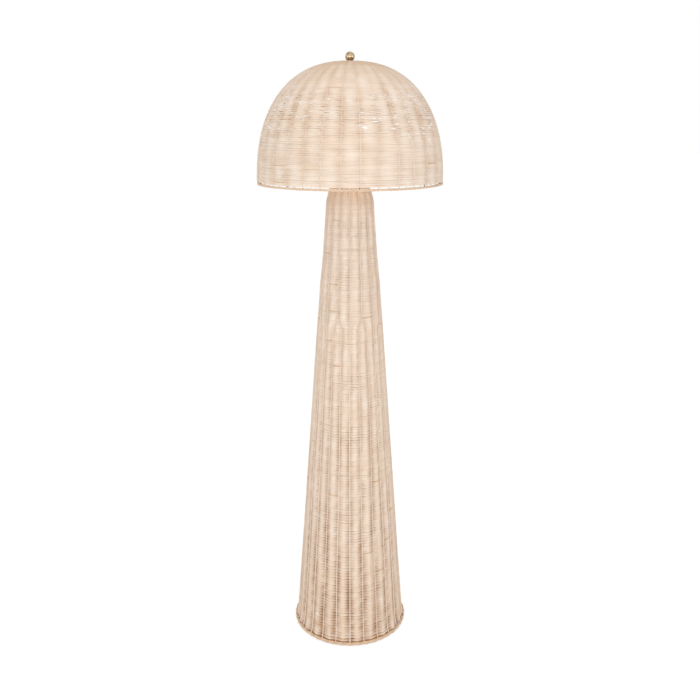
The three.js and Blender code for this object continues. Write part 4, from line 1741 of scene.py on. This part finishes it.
@dataclass
class Shade:
    """The woven shade: weave, stakes, border, crown and wire frame.

    Its outline repeats the sizes of the CAD part. The coil's corners are shares of its radius and its
    depth, and tones of two numbers are a mean and a spread.
    """

    radius: float = 0.24
    height: float = 0.3031
    roundness: float = 2.36
    rim: float = 1.2565
    weave_lift: float = 0.0084
    band_bottom: float = 1.36
    band_top: float = 1.5
    stake_radius: float = 0.0011
    stake_step: float = 0.006
    stake_sink: float = 0.001
    border_radius: float = 0.00325
    border_strand_radius: float = 0.0015
    border_waves: int = 48
    crown_radius: float = 0.0308
    crown_bottom: float = 1.5476
    coil_radius: float = 0.03
    coil_depth: float = 0.01
    coil_strand_radius: float = 0.0013
    coil_shares: tuple[Point, ...] = ((0.6833, 0.02), (0.9933, 0.22), (0.9933, 1.05), (0.95, 1.07),
                                      (0.6667, 0.72), (0.4, 0.62), (0.22, 0.62))
    outline_points: int = 400
    coil_points: int = 64
    row_parts: int = 2
    exposed_tones: Point = (0.6, 0.08)
    hidden_tones: Point = (0.7, 0.08)
    coil_tones: Point = (0.72, 0.12)
    exposed_hollow: float = 0.25
    border_tone: float = 0.6
    seed: int = 23

    @property
    def border_middle(self) -> float:
        """Radius of the border's middle line."""
        return self.radius - self.border_radius

    @property
    def border_height(self) -> float:
        """Height of the border's middle line."""
        return self.rim + self.border_radius

    def outline(self) -> Profile:
        """Trace the outer face over the ribs, from above the rim slot to the crown.

        Returns:
            The outline.
        """
        power = 2 / self.roundness
        start = math.asin((self.weave_lift / self.height) ** (1 / power))
        end = math.acos((self.crown_radius / self.radius) ** (1 / power))
        angles = np.linspace(start, end, self.outline_points)
        radii = self.radius * np.cos(angles) ** power
        return Profile(radii, self.rim + self.height * np.sin(angles) ** power)

    def build(self, finishes: Finishes) -> None:
        """Make and dress the pieces of the shade.

        Args:
            finishes: every finish of the lamp.
        """
        rng = np.random.default_rng(self.seed)
        profile = self.outline()
        weave = ShadeWeave(profile, rng, band_start=profile.distance_at(self.band_bottom),
                           band_end=profile.distance_at(self.band_top))
        woven(weave, "shade", self.row_parts, finishes.shade, "shade")
        exposed, hidden = self._stakes(weave, rng)
        for name, stakes in (("shade_exposed_stakes", exposed), ("shade_hidden_stakes", hidden)):
            settled(dressed(tubes(name, stakes, Section.ROUND), finishes.shade), "shade", "rattan")
        plait = Plait(self.border_middle, self.border_height, self.border_radius, self.border_strand_radius,
                      self.border_waves, self.border_tone)
        piece = dressed(tubes("shade_border_plait", plait.strands(rng), Section.ROUND), finishes.peel)
        settled(piece, "shade", "rattan_peel", "shade_border")
        piece = dressed(tubes("shade_crown_coil", self._coil(rng), Section.ROUND), finishes.peel)
        settled(piece, "shade", "rattan_peel", "shade_crown")
        dress_nodes(finishes.black_steel, "shade_frame")

    def _stakes(self, weave: ShadeWeave, rng: np.random.Generator) -> tuple[list[Strand], list[Strand]]:
        """Lay the stakes from the border to the crown.

        Args:
            weave: the shade's weave.
            rng: the seeded source of their tones and depths.

        Returns:
            The exposed stakes and the hidden ones.
        """
        distances = np.arange(0, weave.profile.length + self.stake_step, self.stake_step)
        exposed, hidden = [], []
        for angle in weave.base_angles(0):
            sunk = rng.uniform(0, self.stake_sink)
            tone = rng.normal(*self.exposed_tones)
            angles = np.full(len(distances), angle)
            exposed.append(weave.exposed_stake(distances, angles, self.stake_radius, tone,
                                               self.exposed_hollow, sunk))
            tone = rng.normal(*self.hidden_tones)
            middle = angle + weave.full_gap() / 2
            hidden.append(weave.hidden_stake(distances, middle, self.stake_radius, tone))
        for stake in exposed + hidden:
            rooted(stake, self.border_middle, self.border_height)
        return exposed, hidden

    def _coil(self, rng: np.random.Generator) -> list[Strand]:
        """Coil the dished disc that the stakes start from.

        Args:
            rng: the seeded source of its tones.

        Returns:
            The turns of the coil, each as a ring.
        """
        radii, heights = (np.array(self.coil_shares) * (self.coil_radius, self.coil_depth)).T
        profile = Profile(radii, heights + self.crown_bottom)
        angles = np.linspace(0, TURN, self.coil_points, endpoint=False)
        level = np.ones(len(angles))
        size = self.coil_strand_radius
        turns = []
        for distance in np.arange(size, profile.length - size, 2 * size):
            points = around(*profile.place(level * distance, level * size), angles)
            outward = profile.outward(level * distance, angles)
            tones = level * rng.normal(*self.coil_tones)
            turns.append(Strand(points, outward, level * size, tones, 0 * level))
        return turns


# Metal and light


@dataclass
class Finial:
    """The brass ball that holds the shade down, and the washers over and under the shade's hub."""

    bottom: float = 1.5559
    neck_radius: float = 0.0052
    neck_height: float = 0.002
    ball_radius: float = 0.012
    ball_centre: float = 0.0137
    waist_radius: float = 0.0043
    edge: float = 0.0004
    washer_bottom: float = 1.5541
    seat: float = 1.5417
    washer_radius: float = 0.011
    washer_thickness: float = 0.0015
    washer_hole: float = 0.0035
    ball_steps: int = 28
    facets: int = 64

    def build(self, finishes: Finishes) -> None:
        """Make the ball with its neck, and the washers.

        Args:
            finishes: every finish of the lamp.
        """
        top = self.bottom + self.neck_height
        waist = math.asin(self.waist_radius / self.ball_radius)
        outline = [(0, self.bottom), (self.neck_radius - self.edge, self.bottom),
                   (self.neck_radius, self.bottom + self.edge), (self.neck_radius, top - self.edge),
                   (self.neck_radius - self.edge, top)]
        centre = (0, self.bottom + self.ball_centre)
        outline += arc(centre, self.ball_radius, waist, math.pi, self.ball_steps)
        piece = dressed(turned("finial_ball", outline, self.facets), finishes.brass)
        settled(piece, "finial", "antique_brass", "finial")
        places = {"finial_washer": ("shade", self.washer_bottom), "seat_washer": ("shade_seat", self.seat)}
        for node, (body, bottom) in places.items():
            washer = disc(node + "_rounded", self.washer_hole, self.washer_radius, self.washer_thickness,
                          bottom)
            settled(dressed(washer, finishes.brass), body, "antique_brass", node)


@dataclass
class LampHolder:
    """The lamp holder with its switch, and what is clamped below it.

    Its outlines repeat the sizes of the CAD part.
    """

    bottom: float = 1.2728
    radius: float = 0.0189
    neck_radius: float = 0.01
    cone_height: float = 0.008
    rim_height: float = 0.007
    wall: float = 0.0009
    bead: float = 0.0005
    bead_arc: Point = (0.2, 2.9)
    bead_steps: int = 6
    hole: float = 0.0052
    neck_cap_bottom: float = 1.2643
    neck_cap_radius: float = 0.036
    neck_cap_thickness: float = 0.002
    knob_start: float = 0.0217
    knob_height: float = 1.2907
    knob_radius: float = 0.0075
    knob_length: float = 0.013
    knob_round: float = 0.0015
    knob_round_steps: int = 5
    knob_bore: float = 0.0023
    knob_bore_depth: float = 0.008
    knob_ridges: int = 20
    knob_ridge_share: float = 0.06
    facets: int = 72

    def build(self, finishes: Finishes) -> None:
        """Make the cap, the knob and the neck cap, and dress the rest.

        Args:
            finishes: every finish of the lamp.
        """
        settled(dressed(self._cap(), finishes.holder_brass), "stand", "antique_brass", "holder_cap")
        settled(dressed(self._knob(), finishes.plastic), "switch", "dark_plastic", "switch_knob")
        cover = disc("neck_cap_disc", self.hole, self.neck_cap_radius, self.neck_cap_thickness,
                     self.neck_cap_bottom)
        settled(dressed(cover, finishes.black_steel), "stand", "black_steel", "neck_cap")
        dress_nodes(finishes.zinc, "harp_saddle", "switch_shaft", "neck_nut", "neck_nipple")
        dress_nodes(finishes.holder_brass, "holder_shell")
        dress_nodes(finishes.paper, "holder_liner")
        dress_nodes(finishes.plastic, "holder_body")

    def _cap(self) -> bpy.types.Object:
        """Turn the holder's cap, with a bead round its rim.

        Returns:
            The cap.
        """
        top = self.cone_height + self.rim_height
        inner = self.radius - self.wall
        bead = arc((self.radius, top - 2 * self.bead), self.bead, *self.bead_arc, self.bead_steps)
        outline = [(self.hole, 0), (self.neck_radius, 0), (self.radius, self.cone_height),
                   (self.radius, top - 4 * self.bead), *bead, (self.radius, top), (inner, top),
                   (inner, self.cone_height + self.wall / 2), (self.neck_radius - self.wall / 2, self.wall),
                   (self.hole, self.wall), (self.hole, 0)]
        return shifted(turned("holder_cap_bead", outline, self.facets), 0, 0, self.bottom)

    def _knob(self) -> bpy.types.Object:
        """Turn the switch knob, ridge its rim and point it at the viewer.

        Returns:
            The knob.
        """
        inner = self.knob_radius - self.knob_round
        low, high = self.knob_round, self.knob_length - self.knob_round
        outline = [(0, self.knob_bore_depth), (self.knob_bore, self.knob_bore_depth), (self.knob_bore, 0),
                   *arc((inner, low), self.knob_round, 0, TURN / 4, self.knob_round_steps),
                   *arc((inner, high), self.knob_round, TURN / 4, TURN / 2, self.knob_round_steps),
                   (0, self.knob_length)]
        piece = turned("switch_knob_ridged", outline, 4 * self.knob_ridges)
        for vertex in piece.data.vertices:
            reach = math.hypot(vertex.co.x, vertex.co.y)
            if reach > inner:
                wave = math.cos(self.knob_ridges * math.atan2(vertex.co.y, vertex.co.x))
                rim_share = (reach - inner) / self.knob_round
                vertex.co.xy *= 1 - self.knob_ridge_share * (1 - wave) / 2 * rim_share
        piece.data.transform(Matrix.Rotation(TURN / 4, 4, "X"))
        return shifted(piece, 0, -self.knob_start, self.knob_height)


@dataclass
class Bulb:
    """The light bulb: frosted glass on a screw cap.

    Its outline repeats the shares of the CAD part, each of its radius and height.
    """

    bottom: float = 1.3283
    radius: float = 0.03
    height: float = 0.086
    outline_shares: tuple[Point, ...] = ((0.46, 0), (0.48, 0.12), (0.66, 0.3), (0.92, 0.48), (1, 0.64),
                                         (0.9, 0.82), (0.62, 0.94), (0.3, 0.99), (0, 1))
    steps: int = 6
    facets: int = 64

    def build(self, finishes: Finishes) -> None:
        """Turn the glass and dress the cap.

        Args:
            finishes: every finish of the lamp.
        """
        places = [(self.radius * reach, self.bottom + self.height * up) for reach, up in self.outline_shares]
        outline = [(0, self.bottom), *flowing(places, self.steps)]
        piece = dressed(turned("bulb_frosted_glass", outline, self.facets), finishes.opal)
        settled(piece, "bulb", "opal_glass", "bulb_glass")
        dress_nodes(finishes.aluminium, "bulb_cap")


@dataclass
class Harp:
    """The wire harp with its feet, collar and threaded stud, and the two sleeves.

    It repeats the sizes of the CAD part. The bow's shares are of its half width and height, and the
    leg's are of its straight length.
    """

    foot: float = 1.2788
    height: float = 0.2626
    half_width: float = 0.056
    leg_offset: float = 0.026
    leg_straight: float = 0.03
    leg_shares: Place = (0, 0.5, 1)
    wire_radius: float = 0.0016
    bow_shares: tuple[Point, ...] = ((0.62, 0.2), (0.9, 0.33), (1, 0.47), (0.96, 0.62), (0.78, 0.79),
                                     (0.48, 0.92), (0.2, 0.98))
    bow_steps: int = 8
    ferrule_radius: float = 0.0025
    ferrule_length: float = 0.016
    collar_radius: float = 0.008
    collar_thickness: float = 0.0036
    stud_radius: float = 0.0032
    stud_top: float = 1.5685
    thread_pitch: float = 0.001
    thread_depth: float = 0.0004
    sleeve_bottom: float = 1.2728
    sleeve_bore: float = 0.0029
    sleeve_wall: float = 0.0013
    sleeve_height: float = 0.012
    bead: float = 0.0004
    bead_arc: Point = (0.3, 2.8)
    bead_steps: int = 5
    rod_facets: int = 32
    sleeve_facets: int = 40

    @property
    def collar_bottom(self) -> float:
        """Height of the collar's lower face."""
        return self.foot + self.height - self.collar_thickness

    def build(self, finishes: Finishes) -> None:
        """Make the bow, its feet, the collar, the stud and the sleeves.

        Args:
            finishes: every finish of the lamp.
        """
        brass = finishes.holder_brass
        settled(dressed(self._bow(), brass), "harp", "antique_brass", "harp")
        collar = disc("harp_collar", self.stud_radius / 2, self.collar_radius, self.collar_thickness,
                      self.collar_bottom)
        for piece in (collar, self._stud()):
            settled(dressed(piece, brass), "harp", "antique_brass")
        for side, name in ((-1, "left"), (1, "right")):
            settled(dressed(self._ferrule(name, side), brass), "harp", "antique_brass")
            sleeve = dressed(self._sleeve(name, side), brass)
            settled(sleeve, f"{name}_sleeve", "antique_brass", f"{name}_harp_sleeve")

    def _bow(self) -> bpy.types.Object:
        """Bend the wire.

        Returns:
            The bow.
        """
        right = [(self.leg_offset, share * self.leg_straight) for share in self.leg_shares]
        right += [(self.half_width * out, self.height * up) for out, up in self.bow_shares]
        crest = (0, self.height - self.collar_thickness / 2)
        left = [(-across, up) for across, up in reversed(right)]
        across, up = np.array(flowing([*right, crest, *left], self.bow_steps)).T
        level = np.zeros(len(across))
        points = np.column_stack([across, level, up + self.foot])
        outward = np.column_stack([level, level - 1, level])
        wire = Strand(points, outward, level + self.wire_radius, level, level, is_ring=False)
        return tubes("harp_bow", [wire], Section.FINE)

    def _stud(self) -> bpy.types.Object:
        """Turn the stud, with its thread as close rings.

        Returns:
            The stud.
        """
        core = self.stud_radius - self.thread_depth
        outline = [(0, self.collar_bottom), (core, self.collar_bottom)]
        for turn in range(1, int((self.stud_top - self.collar_bottom) / self.thread_pitch)):
            low = self.collar_bottom + turn * self.thread_pitch
            outline += [(core, low), (self.stud_radius, low + self.thread_pitch / 2)]
        outline += [(core, self.stud_top), (0, self.stud_top)]
        return turned("harp_stud", outline, self.rod_facets)

    def _ferrule(self, name: str, side: int) -> bpy.types.Object:
        """Turn one of the feet that the sleeves slide on.

        Args:
            name: left or right.
            side: -1 for the left one and 1 for the right one.

        Returns:
            The foot.
        """
        outer = self.ferrule_radius
        top = self.foot + self.ferrule_length
        outline = [(0, self.foot), (outer - self.bead, self.foot), (outer, self.foot + self.bead),
                   (outer, top - self.bead), (outer - self.bead, top), (0, top)]
        return shifted(turned(f"harp_{name}_ferrule", outline, self.rod_facets), side * self.leg_offset)

    def _sleeve(self, name: str, side: int) -> bpy.types.Object:
        """Turn a sleeve with a bead round its lower end.

        Args:
            name: left or right.
            side: -1 for the left one and 1 for the right one.

        Returns:
            The sleeve.
        """
        outer = self.sleeve_bore + self.sleeve_wall
        low, top = self.sleeve_bottom, self.sleeve_bottom + self.sleeve_height
        bead = arc((outer, low + 2 * self.bead), self.bead, *self.bead_arc, self.bead_steps)
        outline = [(self.sleeve_bore, low), (outer, low), *bead, (outer, top - self.bead),
                   (outer - self.bead, top), (self.sleeve_bore, top), (self.sleeve_bore, low)]
        return shifted(turned(f"{name}_sleeve_beaded", outline, self.sleeve_facets), side * self.leg_offset)


@dataclass
class Base:
    """The weighted base inside the foot, and the pole."""

    foot_count: int = 4

    def build(self, finishes: Finishes) -> None:
        """Dress the CAD nodes of the base and the pole.

        Args:
            finishes: every finish of the lamp.
        """
        dress_nodes(finishes.black_steel, "base_plate", "centre_pole")
        dress_nodes(finishes.zinc, "base_washer", "base_nut", "base_nipple", "base_flange",
                    "lower_pole_insert", "upper_pole_insert")
        dress_nodes(finishes.rubber, *[f"foot_{index + 1}" for index in range(self.foot_count)])


# The studio


@dataclass(frozen=True)
class SoftLamp:
    """A square soft lamp.

    Attributes:
        name: its name.
        place: where it hangs.
        aim: the point that it faces.
        size: length of its side.
        power: its power in watts.
    """

    name: str
    place: Place
    aim: Place
    size: float
    power: float

    def hang(self) -> bpy.types.Object:
        """Hang the lamp.

        Returns:
            The lamp, which the camera doesn't see.
        """
        data = bpy.data.lights.new(self.name, "AREA")
        data.shape = "SQUARE"
        data.size = self.size
        data.energy = self.power
        lamp = bpy.data.objects.new(self.name, data)
        lamp.location = self.place
        lamp.visible_camera = False
        lamp.rotation_euler = (Vector(self.aim) - Vector(self.place)).to_track_quat("-Z", "Y").to_euler()
        bpy.context.scene.collection.objects.link(lamp)
        return lamp


@dataclass
class Studio:
    """Camera, lamps, world and floor.

    The softboxes light the whole lamp from the front. The two fills hang inside the shade and stand for
    the warm light that its weave lets through.
    """

    camera_distance: float = 2.0817
    camera_height: float = 1.4207
    camera_drop: float = math.radians(14.0)
    lens: float = 41.0
    sensor: float = 36.0
    shift: float = -0.0472
    farthest: float = 200.0
    softboxes: tuple[SoftLamp, ...] = (
        SoftLamp("front_softbox", place=(0.0, -2.8, 1.15), aim=(0, 0, 1.2), size=2.0, power=28.5),
        SoftLamp("left_softbox", place=(-2.6, -1.6, 1.5), aim=(0, 0, 0.9), size=1.8, power=15),
        SoftLamp("right_softbox", place=(2.6, -1.6, 1.5), aim=(0, 0, 0.9), size=1.8, power=15),
    )
    fills: tuple[SoftLamp, ...] = (
        SoftLamp("under_shade_fill", place=(0, 0, 1.33), aim=(0, 0, 0), size=0.28, power=0.37),
        SoftLamp("inner_shade_fill", place=(0, 0, 1.33), aim=(0, 0, 2), size=0.28, power=0.12),
    )
    fill_colour: str = "FFE9D4"
    ambient: float = 0.7
    floor_size: float = 60.0
    floor_colour: str = "C8C6C4"
    floor_roughness: float = 0.9
    floor_glow: float = 0.6

    def place_camera(self) -> None:
        """Set up the photograph's view."""
        data = bpy.data.cameras.new("view_camera")
        data.lens = self.lens
        data.sensor_width = self.sensor
        data.shift_y = self.shift
        data.clip_end = self.farthest
        camera = bpy.data.objects.new("view_camera", data)
        camera.location = (0, -self.camera_distance, self.camera_height)
        camera.rotation_euler = (TURN / 4 - self.camera_drop, 0, 0)
        bpy.context.scene.collection.objects.link(camera)
        bpy.context.scene.camera = camera

    def light(self) -> None:
        """Set up soft lamps, a white world and the plain floor."""
        bpy.context.scene.view_settings.view_transform = "Standard"
        for softbox in self.softboxes:
            softbox.hang()
        for fill in [fill.hang() for fill in self.fills]:
            fill.data.color = linear(self.fill_colour)[:3]
            fill.visible_glossy = False
        self._world()
        self._floor()

    @staticmethod
    def _seen(tree: ShaderTree) -> bpy.types.NodeSocket:
        """Find the rays that show the background: camera, glossy and transmission rays.

        Args:
            tree: the tree of the background's material.

        Returns:
            A value of 1 for these rays and 0 for the others.
        """
        path = tree.add("ShaderNodeLightPath")
        glossy = tree.math("MAXIMUM", path.outputs["Is Glossy Ray"], path.outputs["Is Transmission Ray"])
        return tree.math("MAXIMUM", path.outputs["Is Camera Ray"], glossy)

    def _world(self) -> None:
        """White where it is seen, and a plain soft light elsewhere."""
        world = bpy.data.worlds.new("studio")
        world.use_nodes = True
        tree = ShaderTree(world.node_tree)
        strength = tree.scaled(self._seen(tree), 1 - self.ambient, self.ambient)
        light = tree.add("ShaderNodeBackground", None, color=(1, 1, 1, 1), strength=strength)
        tree.add("ShaderNodeOutputWorld", None, surface=light.outputs[0])
        bpy.context.scene.world = world

    def _floor(self) -> None:
        """A pale floor that keeps a faint shadow of the lamp."""
        shape = bmesh.new()
        bmesh.ops.create_grid(shape, x_segments=1, y_segments=1, size=self.floor_size / 2)
        mesh = bpy.data.meshes.new("floor")
        shape.to_mesh(mesh)
        shape.free()
        material, tree, surface = new_material("pale_floor")
        tree.feed(surface, "base_color", linear(self.floor_colour))
        tree.feed(surface, "roughness", self.floor_roughness)
        tree.feed(surface, "emission_color", (1, 1, 1, 1))
        tree.feed(surface, "emission_strength", tree.math("MULTIPLY", self._seen(tree), self.floor_glow))
        dressed(linked("floor", mesh), material)


def main() -> None:
    logging.basicConfig(level=logging.INFO, format="%(message)s")
    studio = Studio()
    studio.place_camera()
    finishes = Finishes()
    for part in (Column(), Shade(), Finial(), LampHolder(), Bulb(), Harp(), Base()):
        LOG.info("Building %s", type(part).__name__)
        part.build(finishes)
    studio.light()


if __name__ == "__main__":
    main()
